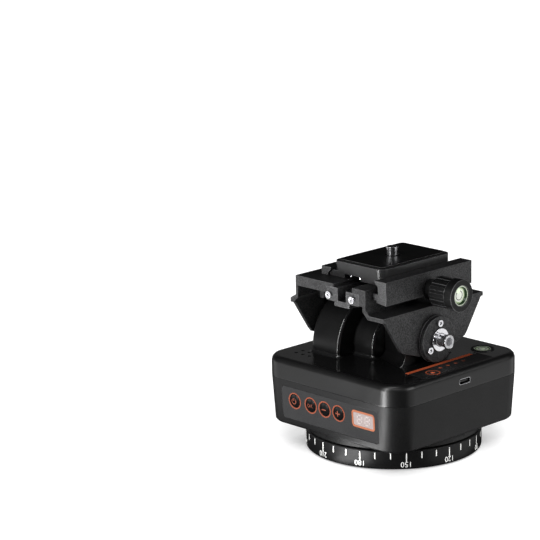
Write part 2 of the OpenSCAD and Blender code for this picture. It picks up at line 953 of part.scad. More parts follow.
module lower_case() {
    seat = body_w / 2 - body_corner;
    low_side = body_w - 2 * case_lean;
    color(dark)
        difference() {
            union() {
                difference() {
                    union() {
                        leaning_slab(low_side, body_w, seat, case_z + case_bevel, seam_z);
                        leaning_slab(low_side - 2 * case_bevel, low_side, seat, case_z, case_z + case_bevel);
                    }
                    translate([0, 0, floor_z])
                        linear_extrude(case_h)
                            round_square(2 * case_inside, case_inner_corner);
                }
                translate([0, 0, head_z])
                    cylinder(h = floor_z - head_z - cut, r = collar_r, $fn = fine);
                case_ribs();
            }
            cylinder(h = far, r = spindle_r + pan_bush_wall, $fn = fine);
            at_posts() {
                cylinder(h = far, r = case_screw_r + screw_gap, $fn = fine);
                cylinder(h = case_z + case_screw_sink + case_screw_head_h,
                    r = case_screw_head_r + screw_gap, $fn = fine);
            }
            pan_motor_place()
                for (y = [-1, 1])
                    translate([0, y * motor_post_reach, floor_z])
                        cylinder(h = far, r = hub_screw_r, $fn = fine);
            bar_x(tilt_motor_x, tilt_motor_x + tilt_gearbox_len, tilt_motor_r, tilt_pinion_y, tilt_pinion_z);
            face_plate(-cut, panel_seat)
                translate([0, -panel_drop])
                    round_rect(panel_w, panel_h, panel_corner);
            face_plate(-cut, panel_seat)
                translate([display_x, button_rise - panel_drop])
                    round_rect(display_w, display_h, display_corner);
            for (x = button_places) {
                face_bar(x, -cut, case_lean + 2 * wall, button_r + move_gap);
                face_bar(x, button_seat - run_fit, switch_depth, button_r + button_flange_w + move_gap);
            }
            translate([display_x - module_w / 2 - module_gap, -body_w / 2,
                button_row_z - module_h / 2 - module_gap])
                cube([module_w + 2 * module_gap, body_w / 2 + switch_board_y, module_h + 2 * module_gap]);
        }
}

// Leaning block that holds one step of the cover's rounded top edge, between two angles of its round
module edge_step(low_angle, high_angle) {
    low_side = body_w - 2 * edge_round * (1 - cos(low_angle));
    low_z = top_z - edge_round * (1 - sin(low_angle));
    rise = edge_round * (sin(high_angle) - sin(low_angle));
    lean = 2 * edge_round * (cos(high_angle) - cos(low_angle)) / rise;
    from = seam_z - cut;
    to = top_z + cut;
    leaning_slab(low_side + lean * (from - low_z), low_side + lean * (to - low_z),
        body_w / 2 - body_corner, from, to);
}

// Outer block of the cover with its rounded top edge
module cover_block() {
    intersection() {
        translate([0, 0, seam_z])
            linear_extrude(cover_h)
                round_square(body_w, body_corner);
        edge_step(0, 30);
        edge_step(30, 60);
        edge_step(60, 90);
    }
}

module upper_cover() {
    inner_corner = body_corner - wall;
    low = top_z - lobe_root;
    color(dark)
        difference() {
            union() {
                difference() {
                    cover_block();
                    translate([0, 0, seam_z - cut])
                        linear_extrude(cover_h - plate_t + cut)
                            round_square(2 * cover_inside, inner_corner);
                }
                at_posts()
                    translate([0, 0, seam_z])
                        cylinder(h = cover_h - plate_t / 2, r = post_r, $fn = fine);
                for (p = main_posts)
                    translate([p[0], p[1], main_board_z + main_board_t])
                        cylinder(h = top_z - plate_t / 2 - main_board_z - main_board_t, r = main_post_r,
                            $fn = fine);
                translate([level_x, level_y, top_z + vial_show - vial_h - cup_wall])
                    cylinder(h = vial_h - plate_t / 2, r = vial_r + cup_wall, $fn = fine);
                lobe(big_lobe_left + lobe_relief, big_lobe_right - lobe_edge, big_lobe_r, big_lobe_z, low);
                lobe_bevel(big_lobe_left + lobe_relief, -1, lobe_relief, big_lobe_r, big_lobe_z, low);
                lobe_bevel(big_lobe_right - lobe_edge, 1, lobe_edge, big_lobe_r, big_lobe_z, low);
                lobe(big_lobe_right, mid_lobe_right - lobe_edge, mid_lobe_r, mid_lobe_z, low);
                lobe_bevel(mid_lobe_right - lobe_edge, 1, lobe_edge, mid_lobe_r, mid_lobe_z, low);
                waist_lobe();
            }
            at_posts()
                translate([0, 0, seam_z - cut])
                    cylinder(h = case_screw_reach + cut, r = case_screw_r, $fn = fine);
            lobe(big_lobe_left + lobe_wall, big_lobe_right - lobe_wall, big_lobe_r - lobe_wall,
                big_lobe_z, roof_z - cut);
            lobe(big_lobe_right - 2 * lobe_wall, mid_lobe_right - lobe_wall, mid_lobe_r - lobe_wall,
                mid_lobe_z, roof_z - cut);
            lobe(mid_lobe_right - 2 * lobe_wall, waist_right - lobe_wall, waist_hollow,
                axis_z + waist_hollow_rise, roof_z - cut);
            bar_x(big_lobe_left - cut, waist_right + cut, bearing_r, 0, axis_z);
            translate([cover_inside - cut, inlet_y, inlet_z])
                along_x()
                    linear_extrude(wall + 2 * cut)
                        round_rect(inlet_w + 2 * inlet_gap, inlet_h + 2 * inlet_gap, inlet_h / 2);
            translate([label_left, label_front, top_z + film_show - film_t])
                cube([label_right - label_left, label_len, film_t]);
            translate([label_left, label_front, top_z + film_show - film_t])
                cube([stripe_w, stripe_len, film_t]);
            for (p = lamps)
                translate([p[0], p[1], roof_z - cut])
                    cylinder(h = far, r = p[2], $fn = fine);
            translate([level_x, level_y, top_z + bezel_show - bezel_depth])
                cylinder(h = far, r = vial_r + bezel_w, $fn = fine);
            translate([level_x, level_y, top_z + vial_show - vial_h])
                cylinder(h = far, r = vial_r, $fn = fine);
            for (x = [0, 1], y = [0, 1])
                translate([sound_x + x * sound_pitch, sound_y + y * sound_pitch, roof_z - cut])
                    cylinder(h = far, r = sound_r, $fn = fine);
            translate([sound_x + 2 * sound_pitch, sound_y, roof_z - cut])
                cylinder(h = far, r = sound_r, $fn = fine);
        }
}

module control_panel() {
    color([0.2, 0.2, 0.21])
        difference() {
            face_plate(panel_inset, panel_seat)
                translate([0, -panel_drop])
                    round_rect(panel_w, panel_h, panel_corner);
            for (x = button_places) {
                face_bar(x, -cut, 2 * panel_seat, button_r + move_gap);
                face_bar(x, -cut, print_show + print_t, button_r + move_gap + ring_w);
            }
            face_plate(-cut, print_show + print_t)
                translate([display_x, button_rise - panel_drop])
                    round_rect(display_w, display_h, display_corner);
            face_plate(-cut, 2 * panel_seat)
                translate([display_x, button_rise - panel_drop])
                    round_rect(window_w, window_h, window_corner);
        }
}

module button_rings() {
    color(orange)
        for (x = button_places)
            difference() {
                face_bar(x, print_show, print_show + print_t, button_r + move_gap + ring_w);
                face_bar(x, -cut, panel_seat, button_r + move_gap);
            }
}

module display_frame() {
    color(orange)
        face_plate(print_show, print_show + print_t)
            translate([display_x, button_rise - panel_drop])
                difference() {
                    round_rect(display_w, display_h, display_corner);
                    round_rect(window_w, window_h, window_corner);
                }
}

module display_window() {
    color([0.6, 0.55, 0.55])
        face_plate(panel_inset, panel_seat)
            translate([display_x, button_rise - panel_drop])
                round_rect(window_w, window_h, window_corner);
}

module display_module() {
    color([0.3, 0.3, 0.3])
        translate([display_x - module_w / 2, module_front, button_row_z - module_h / 2])
            cube([module_w, switch_board_y - module_front, module_h]);
}

// One push button with a domed front and a flange that keeps it in the case
module push_button(x) {
    color(black) {
        intersection() {
            face_bar(x, -button_proud, button_seat + cut, button_r);
            on_front_face()
                translate([x, button_dome_r - button_proud, button_rise - panel_drop])
                    sphere(button_dome_r, $fn = fine);
        }
        face_bar(x, button_seat, button_seat + button_flange_t, button_r + button_flange_w);
    }
}

module power_button() {
    push_button(power_x);
}

module mode_button() {
    push_button(mode_x);
}

module minus_button() {
    push_button(minus_x);
}

module plus_button() {
    push_button(plus_x);
}

module tact_switches() {
    color(black)
        for (x = button_places)
            translate([x - switch_w / 2, switch_front, button_row_z - switch_w / 2])
                cube([switch_w, switch_t, switch_w]);
}

module switch_board() {
    color([0.1, 0.35, 0.2])
        translate([-switch_board_w / 2, switch_board_y, button_row_z - button_rise - switch_board_h / 2])
            cube([switch_board_w, board_t, switch_board_h]);
}

module usb_socket() {
    front = body_w / 2 - inlet_recess;
    color(steel)
        difference() {
            translate([front - inlet_depth, inlet_y, inlet_z])
                along_x()
                    linear_extrude(inlet_depth)
                        round_rect(inlet_w, inlet_h, inlet_h / 2 - inlet_gap);
            translate([front - inlet_depth + inlet_back, inlet_y, inlet_z])
                along_x()
                    linear_extrude(inlet_depth)
                        round_rect(inlet_w - 2 * inlet_shell, inlet_h - 2 * inlet_shell,
                            inlet_h / 2 - inlet_shell - inlet_gap);
        }
}

module usb_tongue() {
    front = body_w / 2 - inlet_recess;
    color(black)
        translate([front - inlet_depth + inlet_back, inlet_y - tongue_w / 2, inlet_z - tongue_t / 2])
            cube([inlet_depth - inlet_back - tongue_inset, tongue_w, tongue_t]);
}

module circuit_board() {
    color([0.1, 0.35, 0.2])
        translate([main_board_left, main_board_front, main_board_z])
            cube([main_board_right - main_board_left, main_board_back - main_board_front, main_board_t]);
}

// Room that the label and its stripe leave round the top level
module level_clearance() {
    translate([level_x, level_y, roof_z])
        cylinder(h = far, r = vial_r + bezel_w + level_gap, $fn = fine);
}

module top_label() {
    left = label_left + stripe_w + film_gap;
    color(black)
        difference() {
            translate([left, label_front, top_z + film_show - film_t])
                cube([label_right - left, label_len, film_t]);
            level_clearance();
            for (p = lamps)
                translate([p[0], p[1], roof_z])
                    cylinder(h = far, r = p[2], $fn = fine);
            translate([icon_x, icon_y, top_z])
                difference() {
                    cylinder(h = far, r = icon_r, $fn = fine);
                    translate([0, 0, -cut])
                        cylinder(h = far, r = icon_r - icon_w, $fn = fine);
                }
        }
}

// Coloured stripe beside the label and the ring round its first lamp
module accent_print() {
    color(orange) {
        difference() {
            translate([label_left, label_front, top_z + film_show - film_t])
                cube([stripe_w, stripe_len, film_t]);
            level_clearance();
        }
        translate([icon_x, icon_y, top_z])
            difference() {
                cylinder(h = film_show, r = icon_r, $fn = fine);
                translate([0, 0, -cut])
                    cylinder(h = film_show + 2 * cut, r = icon_r - icon_w, $fn = fine);
            }
    }
}

module indicator_leds() {
    color(orange)
        for (p = lamps)
            translate([p[0], p[1], roof_z])
                cylinder(h = plate_t + film_show + lamp_show, r = p[2], $fn = fine);
}

module level_bezel() {
    color(black)
        translate([level_x, level_y, top_z + bezel_show - bezel_depth])
            difference() {
                cylinder(h = bezel_depth, r = vial_r + bezel_w, $fn = fine);
                translate([0, 0, -cut])
                    cylinder(h = bezel_depth + 2 * cut, r = vial_r, $fn = fine);
            }
}

module level_vial() {
    color(green)
        translate([level_x, level_y, top_z + vial_show - vial_h])
            cylinder(h = vial_h, r = vial_r, $fn = fine);
}

module case_screws() {
    head_top = case_z + case_screw_sink + case_screw_head_h;
    color(steel)
        at_posts()
            translate([0, 0, head_top])
                socket_screw(case_screw_head_r, case_screw_head_h, case_screw_r,
                    seam_z + case_screw_reach - head_top);
}

// Pan gear motor, with its ears kept off the case walls
module pan_motor() {
    room = case_inside - motor_wall_gap;
    color(steel)
        intersection() {
            pan_motor_place()
                difference() {
                    union() {
                        translate([-motor_ear_w / 2, -motor_ear_end, pan_motor_z])
                            cube([motor_ear_w, 2 * motor_ear_end, motor_plate_t]);
                        translate([0, 0, pan_motor_z])
                            cylinder(h = motor_plate_t, r = pan_motor_r, $fn = fine);
                        translate([0, 0, pan_motor_z + motor_plate_t])
                            cylinder(h = pan_motor_h, r = pan_motor_r, $fn = fine);
                    }
                    translate([0, 0, pan_motor_z - cut])
                        cylinder(h = drive_shaft_len + motor_gap, r = drive_shaft_r + run_fit, $fn = fine);
                    for (y = [-1, 1])
                        translate([0, y * motor_post_reach, pan_motor_z - cut])
                            cylinder(h = motor_plate_t + 2 * cut, r = hub_screw_r, $fn = fine);
                }
            translate([-room, -room, 0])
                cube([2 * room, 2 * room, far]);
        }
}

module motor_screws() {
    color(steel)
        pan_motor_place()
            for (y = [-1, 1])
                translate([0, y * motor_post_reach, pan_motor_z + motor_plate_t])
                    rotate([180, 0, 0])
                        socket_screw(hub_screw_head_r, hub_screw_head_h, hub_screw_r,
                            motor_plate_t + motor_screw_grip);
}

module pan_pinion() {
    color([0.8, 0.78, 0.7])
        pan_motor_place() {
            translate([0, 0, pan_gear_z - pinion_over / 2])
                linear_extrude(gear_t + pinion_over)
                    rotate(180 + 180 / pinion_teeth)
                        gear_outline(pinion_teeth);
            translate([0, 0, pan_gear_z])
                cylinder(h = pan_motor_z - pan_gear_z + drive_shaft_len - drive_shaft_end,
                    r = drive_shaft_r, $fn = fine);
        }
}

module tilt_motor() {
    can_x = tilt_motor_x + tilt_gearbox_len;
    color(steel)
        difference() {
            union() {
                bar_x(tilt_motor_x, can_x, tilt_motor_r, tilt_pinion_y, tilt_pinion_z);
                bar_x(can_x, tilt_motor_x + tilt_motor_len, tilt_can_r, tilt_pinion_y, tilt_pinion_z);
            }
            bar_x(tilt_motor_x - cut, tilt_motor_x + drive_shaft_len, drive_shaft_r + run_fit,
                tilt_pinion_y, tilt_pinion_z);
        }
}

module tilt_pinion() {
    color([0.8, 0.78, 0.7]) {
        translate([tilt_gear_x - pinion_over / 2, tilt_pinion_y, tilt_pinion_z])
            along_x()
                linear_extrude(gear_t + pinion_over)
                    rotate(tilt_drive_angle + 180 + 180 / pinion_teeth)
                        gear_outline(pinion_teeth);
        bar_x(tilt_gear_x, tilt_motor_x + drive_shaft_len - drive_shaft_end, drive_shaft_r,
            tilt_pinion_y, tilt_pinion_z);
    }
}

module battery_pack() {
    color([0.2, 0.3, 0.5])
        translate([battery_left, battery_front, battery_z])
            cube([battery_w, battery_d, battery_h]);
}

module buzzer() {
    color(black)
        translate([buzzer_x, buzzer_y, roof_z - buzzer_h])
            cylinder(h = buzzer_h, r = buzzer_r, $fn = fine);
}

module tilt_bearings() {
    color([0.75, 0.6, 0.3]) {
        difference() {
            union() {
                bar_x(big_lobe_left, big_lobe_left + lobe_wall, bearing_r, 0, axis_z);
                bar_x(big_lobe_left + lobe_wall, big_lobe_left + lobe_wall + bearing_flange_t,
                    bearing_flange_r, 0, axis_z);
            }
            bar_x(-far, far, shaft_r + run_fit, 0, axis_z);
        }
        difference() {
            bar_x(waist_right - lobe_wall - bearing_flange_t, waist_right, bearing_r, 0, axis_z);
            bar_x(-far, far, shaft_r + run_fit, 0, axis_z);
        }
    }
}

// Side plate outline: a wide top that narrows to the hub
module shield_outline() {
    half = bracket_len / 2;
    corner_z = axis_z - shield_edge_drop;
    polygon([[-half, foot_z], [half, foot_z], [shield_half, corner_z],
        [shield_half - shield_bevel_w, corner_z - shield_bevel_h], [shield_foot, axis_z - shield_drop],
        [-shield_foot, axis_z - shield_drop], [shield_bevel_w - shield_half, corner_z - shield_bevel_h],
        [-shield_half, corner_z]]);
}

// Side plate with holes for the shaft and the hub screws
module side_plate(from) {
    difference() {
        translate([from, 0, 0])
            along_x()
                linear_extrude(side_t)
                    shield_outline();
        bar_x(from - cut, from + side_t + cut, shaft_r, 0, axis_z);
        at_hub_screws()
            bar_x(from - cut, from + side_t + cut, hub_screw_r);
    }
}

// Places children at the hub screws' axes
module at_hub_screws() {
    for (a = three_ways)
        translate([0, hub_screw_place * cos(a), axis_z + hub_screw_place * sin(a)])
            children();
}

module left_yoke() {
    inner = left_wall_x + left_wall_t;
    foot_in = left_face + side_t;
    color(dark) {
        along_y(bracket_len)
            polygon([[left_wall_x, bed_z], [left_bed_end, bed_z], [left_bed_end, box_top_left],
                [box_left, box_top_left], [box_left, bed_under], [inner, bed_under],
                [inner, foot_z + left_elbow_in], [foot_in, foot_z - foot_t],
                [left_face, foot_z - foot_t], [left_face, foot_z], [left_wall_x, foot_z + left_elbow_out]]);
        side_plate(left_face);
        translate([lug_x, lug_y, bed_under - lug_h])
            cube([lug_w, lug_w, lug_h]);
    }
}

module right_yoke() {
    thin = right_wall_x - side_t;
    neck = box_floor + thin_wall_rise;
    color(dark)
        difference() {
            union() {
                along_y(bracket_len)
                    polygon([[right_bed_end, bed_z], [right_wall_x, bed_z],
                        [right_wall_x, foot_z + right_elbow], [right_wall_x + right_elbow, foot_z],
                        [right_face, foot_z], [right_face, foot_z - foot_t],
                        [right_wall_x + right_elbow_in, foot_z - foot_t],
                        [thin, foot_z + right_elbow_in], [thin, neck], [box_right, neck],
                        [box_right, box_top_right], [right_bed_end, box_top_right]]);
                side_plate(right_face - side_t);
            }
            bar_x(box_right - cut, right_wall_x + cut, screw_r + run_fit, 0, screw_z);
            for (y = [-1, 1])
                bar_x(box_right - cut, right_wall_x + cut, pin_r, y * pin_place, screw_z);
        }
}

module channel_bar() {
    outer = slot_half + channel_wall;
    color(dark)
        difference() {
            along_y(bracket_len)
                polygon([[box_left, box_top_left], [-slot_half, box_top_left], [-slot_half, slot_floor],
                    [slot_half, slot_floor], [slot_half, box_top_right], [box_right, box_top_right],
                    [box_right, box_floor], [outer, box_floor], [outer, channel_floor],
                    [-outer, channel_floor], [-outer, box_floor], [box_left, box_floor]]);
            at_end_screws()
                translate([0, 0, -cut])
                    cylinder(h = end_screw_len + cut, r = end_screw_r, $fn = fine);
        }
}

// Places children at the channel's end screws, with +Z into the channel
module at_end_screws() {
    for (x = end_screw_places, side = [-1, 1])
        translate([x, side * bracket_len / 2, end_screw_z])
            rotate([side * 90, 0, 0])
                children();
}

module channel_screws() {
    color(steel)
        at_end_screws() {
            difference() {
                translate([0, 0, -end_screw_head_h])
                    cylinder(h = end_screw_head_h, r = end_screw_head_r, $fn = fine);
                translate([0, 0, -end_screw_head_h])
                    cross_cut(cross_depth);
            }
            cylinder(h = end_screw_len, r = end_screw_r, $fn = fine);
        }
}

// Hub flange with a wider foot ring, on the right of its seat
module hub(seat) {
    difference() {
        union() {
            bar_x(seat, seat + hub_t, hub_r, 0, axis_z);
            bar_x(seat, seat + hub_step_t, hub_r + hub_step, 0, axis_z);
        }
        bar_x(seat - cut, seat + hub_t + cut, shaft_r, 0, axis_z);
        at_hub_screws()
            bar_x(seat - cut, seat + hub_t + cut, hub_screw_r);
    }
}

module right_hub() {
    color(black)
        hub(right_face);
}

module left_hub() {
    color(black)
        mirror([1, 0, 0])
            hub(-left_face);
}

module hub_screw(seat) {
    translate([seat, 0, 0])
        rotate([0, -90, 0])
            socket_screw(hub_screw_head_r, hub_screw_head_h, hub_screw_r, hub_t + side_t);
}

module hub_screws() {
    color(steel)
        at_hub_screws() {
            hub_screw(right_face + hub_t);
            mirror([1, 0, 0])
                hub_screw(hub_t - left_face);
        }
}

module hub_washer() {
    seat = right_face + hub_t;
    color(steel)
        difference() {
            bar_x(seat, seat + washer_t, washer_r, 0, axis_z);
            bar_x(seat - cut, seat + washer_t + cut, shaft_r, 0, axis_z);
        }
}

module tilt_shaft() {
    neck_from = right_face + hub_t + washer_t;
    color(steel)
        difference() {
            bar_x(shaft_left, shaft_right, shaft_r, 0, axis_z);
            difference() {
                bar_x(neck_from, shaft_right - shaft_cap_len, shaft_r + cut, 0, axis_z);
                bar_x(neck_from - cut, shaft_right, shaft_r - shaft_neck, 0, axis_z);
            }
            bar_x(shaft_right - shaft_hole_depth, shaft_right + cut, shaft_hole_r, 0, axis_z);
        }
}

module tilt_gear() {
    reach = tilt_pitch + 2 * gear_module;
    wedge = [tilt_drive_angle - sector_half, tilt_drive_angle, tilt_drive_angle + sector_half];
    color([0.8, 0.78, 0.7])
        translate([tilt_gear_x, 0, axis_z])
            along_x()
                linear_extrude(gear_t)
                    difference() {
                        union() {
                            circle(gear_hub_r, $fn = fine);
                            intersection() {
                                rotate(tilt_drive_angle)
                                    gear_outline(tilt_teeth);
                                polygon(concat([[0, 0]], [for (a = wedge) polar(1.4 * reach, a)]));
                            }
                        }
                        circle(shaft_r, $fn = fine);
                    }
}

module fixed_jaw() {
    outer = -lip_half - fixed_jaw_w;
    color(dark)
        along_y(fixed_jaw_len)
            polygon([[outer, bed_z], [outer, jaw_top], [-lip_half, jaw_top], [-lip_half, jaw_top - lip_edge],
                [-recess_half, slope_low], [-recess_half, bed_z]]);
}

module guide_pins() {
    color(steel)
        for (y = [-1, 1])
            bar_x(box_right, pin_end, pin_r, y * pin_place, screw_z);
}

module moving_jaw() {
    heel = tooth_x + tooth_len;
    color(dark)
        difference() {
            along_y(jaw_len)
                polygon([[lip_half, jaw_top], [jaw_face, jaw_top], [jaw_face, jaw_bottom],
                    [heel, jaw_bottom + jaw_bevel], [heel, tooth_top - tooth_h],
                    [tooth_x, tooth_top - tooth_h], [tooth_x, tooth_top], [recess_half, tooth_top],
                    [recess_half, slope_low], [lip_half, jaw_top - lip_edge]]);
            bar_x(tooth_x - cut, jaw_face + cut, screw_r + run_fit, 0, screw_z);
            for (y = [-1, 1])
                bar_x(tooth_x - cut, pin_end + move_gap, pin_r + run_fit, y * pin_place, screw_z);
        }
}

module clamp_knob() {
    color(black)
        difference() {
            union() {
                bar_x(neck_start, grip_start, neck_r, 0, screw_z);
                bar_x(grip_start, rim_start, core_r, 0, screw_z);
                bar_x(rim_start, knob_end, rim_r, 0, screw_z);
            }
            bar_x(neck_start - cut, rim_start, screw_r, 0, screw_z);
            bar_x(knob_end - knob_vial_sink - knob_vial_h, knob_end + cut, knob_vial_r, 0, screw_z);
        }
}

// Ribbed sleeve round the knob's core
module knob_grip() {
    color(black)
        translate([grip_start, 0, screw_z])
            along_x()
                linear_extrude(grip_len)
                    difference() {
                        union() {
                            circle(grip_r - rib_h, $fn = fine);
                            intersection() {
                                circle(grip_r, $fn = fine);
                                for (i = [0:rib_count - 1])
                                    rotate(360 * i / rib_count)
                                        translate([grip_r, 0])
                                            square([4 * rib_h, rib_w], center = true);
                            }
                        }
                        circle(core_r, $fn = fine);
                    }
}

module knob_vial() {
    color(green)
        bar_x(knob_end - knob_vial_sink - knob_vial_h, knob_end - knob_vial_sink, knob_vial_r, 0, screw_z);
}

module clamp_spindle() {
    color(steel)
        bar_x(box_right + spindle_gap, rim_start, screw_r, 0, screw_z);
}

module quick_plate() {
    color(dark)
        difference() {
            union() {
                along_y(plate_len)
                    polygon([[-dovetail_half, plate_z], [dovetail_half, plate_z],
                        [dovetail_half, plate_z + dovetail_edge], [plate_half, dovetail_top],
                        [-plate_half, dovetail_top], [-dovetail_half, plate_z + dovetail_edge]]);
                translate([0, 0, dovetail_top])
                    linear_extrude(plate_top - dovetail_top)
                        round_rect(2 * plate_half, plate_len, plate_corner);
            }
            for (side = [-1, 1])
                translate([notch_left, side * (plate_len - notch_len + cut) / 2 - (notch_len + cut) / 2,
                    plate_z - cut])
                    cube([notch_w, notch_len + cut, notch_h + cut]);
            translate([0, 0, plate_z - cut])
                cylinder(h = camera_head_z + camera_head_h + camera_head_gap - plate_z + cut,
                    r = camera_head_r + camera_head_gap, $fn = fine);
            cylinder(h = far, r = camera_r + move_gap, $fn = fine);
        }
}

module plate_pad() {
    color(black)
        translate([0, 0, plate_top])
            linear_extrude(plate_pad_t)
                difference() {
                    round_rect(2 * (plate_half - pad_inset), plate_len - 2 * pad_inset,
                        plate_corner - pad_inset);
                    circle(camera_r + camera_pad_gap, $fn = fine);
                }
}

module stop_screws() {
    color(steel)
        for (x = stop_places, side = [-1, 1])
            translate([x, side * (plate_len / 2 - stop_inset), plate_z + notch_h - stop_h])
                cylinder(h = stop_h, r = stop_r, $fn = fine);
}

// Captive screw: coin-slot head under the plate, slim shank through it and thread above the pad
module camera_screw() {
    pad_top = plate_top + plate_pad_t;
    color(steel)
        difference() {
            union() {
                translate([0, 0, camera_head_z])
                    cylinder(h = camera_head_h, r = camera_head_r, $fn = fine);
                translate([0, 0, camera_head_z])
                    cylinder(h = pad_top - camera_head_z, r = camera_r - camera_shank_step, $fn = fine);
                translate([0, 0, pad_top])
                    cylinder(h = camera_len, r = camera_r, $fn = fine);
            }
            translate([0, 0, camera_head_z])
                cube([4 * camera_head_r, camera_slot_w, 2 * camera_slot_h], center = true);
        }
}

base_disc();
base_pad();
tripod_bush();
pan_spindle();
base_screws();
thrust_ring();
pan_gear();
spindle_nut();
lower_case();
upper_cover();
control_panel();
button_rings();
display_window();
display_frame();
display_module();
usb_socket();
usb_tongue();
top_label();
accent_print();
indicator_leds();
level_bezel();
level_vial();
case_screws();
pan_bush();
pan_motor();
tilt_motor();
motor_screws();
battery_pack();
circuit_board();
switch_board();
tact_switches();
buzzer();
tilt_bearings();
pan_pinion();
tilt_pinion();
power_button();
mode_button();
minus_button();
plus_button();
left_yoke();
right_yoke();
channel_bar();
channel_screws();
right_hub();
left_hub();
hub_screws();
hub_washer();
tilt_shaft();
tilt_gear();
fixed_jaw();
guide_pins();
moving_jaw();
clamp_knob();
knob_grip();
knob_vial();
clamp_spindle();
quick_plate();
plate_pad();
stop_screws();
camera_screw();
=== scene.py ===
"""Looks of the motorized pan tilt head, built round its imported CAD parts."""
import json
import math
import bmesh
import bpy
from mathutils import Matrix, Vector

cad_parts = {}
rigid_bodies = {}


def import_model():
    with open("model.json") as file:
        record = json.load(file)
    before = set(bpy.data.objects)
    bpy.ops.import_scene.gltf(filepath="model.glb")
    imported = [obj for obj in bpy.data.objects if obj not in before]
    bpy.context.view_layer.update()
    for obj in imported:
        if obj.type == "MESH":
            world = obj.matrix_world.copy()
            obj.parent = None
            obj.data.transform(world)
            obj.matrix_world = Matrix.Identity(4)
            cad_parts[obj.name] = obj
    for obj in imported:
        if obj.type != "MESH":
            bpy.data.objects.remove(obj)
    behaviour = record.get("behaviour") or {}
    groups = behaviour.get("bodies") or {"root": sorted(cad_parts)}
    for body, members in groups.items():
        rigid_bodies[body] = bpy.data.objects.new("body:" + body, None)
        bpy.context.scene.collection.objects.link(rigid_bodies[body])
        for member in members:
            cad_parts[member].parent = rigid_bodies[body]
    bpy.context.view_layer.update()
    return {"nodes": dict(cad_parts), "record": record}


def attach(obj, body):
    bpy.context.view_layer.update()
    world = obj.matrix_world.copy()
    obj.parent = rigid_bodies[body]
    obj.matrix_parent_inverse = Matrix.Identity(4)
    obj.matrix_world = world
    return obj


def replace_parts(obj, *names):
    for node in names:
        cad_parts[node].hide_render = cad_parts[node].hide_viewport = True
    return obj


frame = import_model()
nodes = frame["nodes"]
record = frame["record"]
slot_of = {p["node"]: p["material_slot"] for p in record["subparts"]}
rides_on = {n: b for b, members in record["behaviour"]["bodies"].items() for n in members}
scene = bpy.context.scene

# Lengths are in mm unless they say m, and MM turns them into the scene's metres
MM = 0.001
TOP_Z = 51.0
SHAFT_Z = 64.0

# Finishes
BROAD_SCALE = 70.0
BROAD_DETAIL = 2.0
MIDDLE = (0.3, 0.7)
GRAIN_DEPTH = 0.04
LEAST_ROUGH = 0.02
COOL = 1.03


def finish(name, dark, light, rough, metallic=0.0, specular=0.5, coat=0.0, coat_rough=0.08,
           glow=0.0, grain=2400.0, detail=3.0, rough_detail=0.5, stretch=(1.0, 1.0, 1.0),
           spots=MIDDLE, relief=0.15, patchy=0.06):
    """A finish with fine grain in its colour and surface, and broad patches in its gloss."""
    material = bpy.data.materials.new(name)
    material.use_nodes = True
    tree = material.node_tree
    tree.nodes.clear()
    add, join = tree.nodes.new, tree.links.new
    out = add("ShaderNodeOutputMaterial")
    shader = add("ShaderNodeBsdfPrincipled")
    shader.inputs["Metallic"].default_value = metallic
    shader.inputs["Specular IOR Level"].default_value = specular
    shader.inputs["Coat Weight"].default_value = coat
    shader.inputs["Coat Roughness"].default_value = coat_rough
    shader.inputs["Emission Color"].default_value = (*light, 1)
    shader.inputs["Emission Strength"].default_value = glow
    place = add("ShaderNodeTexCoord")
    scale = add("ShaderNodeMapping")
    scale.inputs["Scale"].default_value = stretch
    fine = add("ShaderNodeTexNoise")
    fine.inputs["Scale"].default_value = grain
    fine.inputs["Detail"].default_value = detail
    fine.inputs["Roughness"].default_value = rough_detail
    broad = add("ShaderNodeTexNoise")
    broad.inputs["Scale"].default_value = BROAD_SCALE
    broad.inputs["Detail"].default_value = BROAD_DETAIL
    tone = add("ShaderNodeValToRGB")
    for stop, position, colour in zip(tone.color_ramp.elements, spots, (dark, light)):
        stop.position = position
        stop.color = (*colour, 1)
    gloss = add("ShaderNodeMapRange")
    gloss.inputs["From Min"].default_value = MIDDLE[0]
    gloss.inputs["From Max"].default_value = MIDDLE[1]
    gloss.inputs["To Min"].default_value = max(LEAST_ROUGH, rough - patchy)
    gloss.inputs["To Max"].default_value = rough + patchy
    bump = add("ShaderNodeBump")
    bump.inputs["Strength"].default_value = relief
    bump.inputs["Distance"].default_value = GRAIN_DEPTH * MM
    join(place.outputs["Object"], scale.inputs["Vector"])
    join(scale.outputs["Vector"], fine.inputs["Vector"])
    join(place.outputs["Object"], broad.inputs["Vector"])
    join(fine.outputs["Fac"], tone.inputs["Fac"])
    join(tone.outputs["Color"], shader.inputs["Base Color"])
    join(broad.outputs["Fac"], gloss.inputs["Value"])
    join(gloss.outputs["Result"], shader.inputs["Roughness"])
    join(fine.outputs["Fac"], bump.inputs["Height"])
    join(bump.outputs["Normal"], shader.inputs["Normal"])
    join(shader.outputs["BSDF"], out.inputs["Surface"])
    return material


def grey(a):
    """A neutral tone, a trace on the cool side."""
    return (a, a, a * COOL)


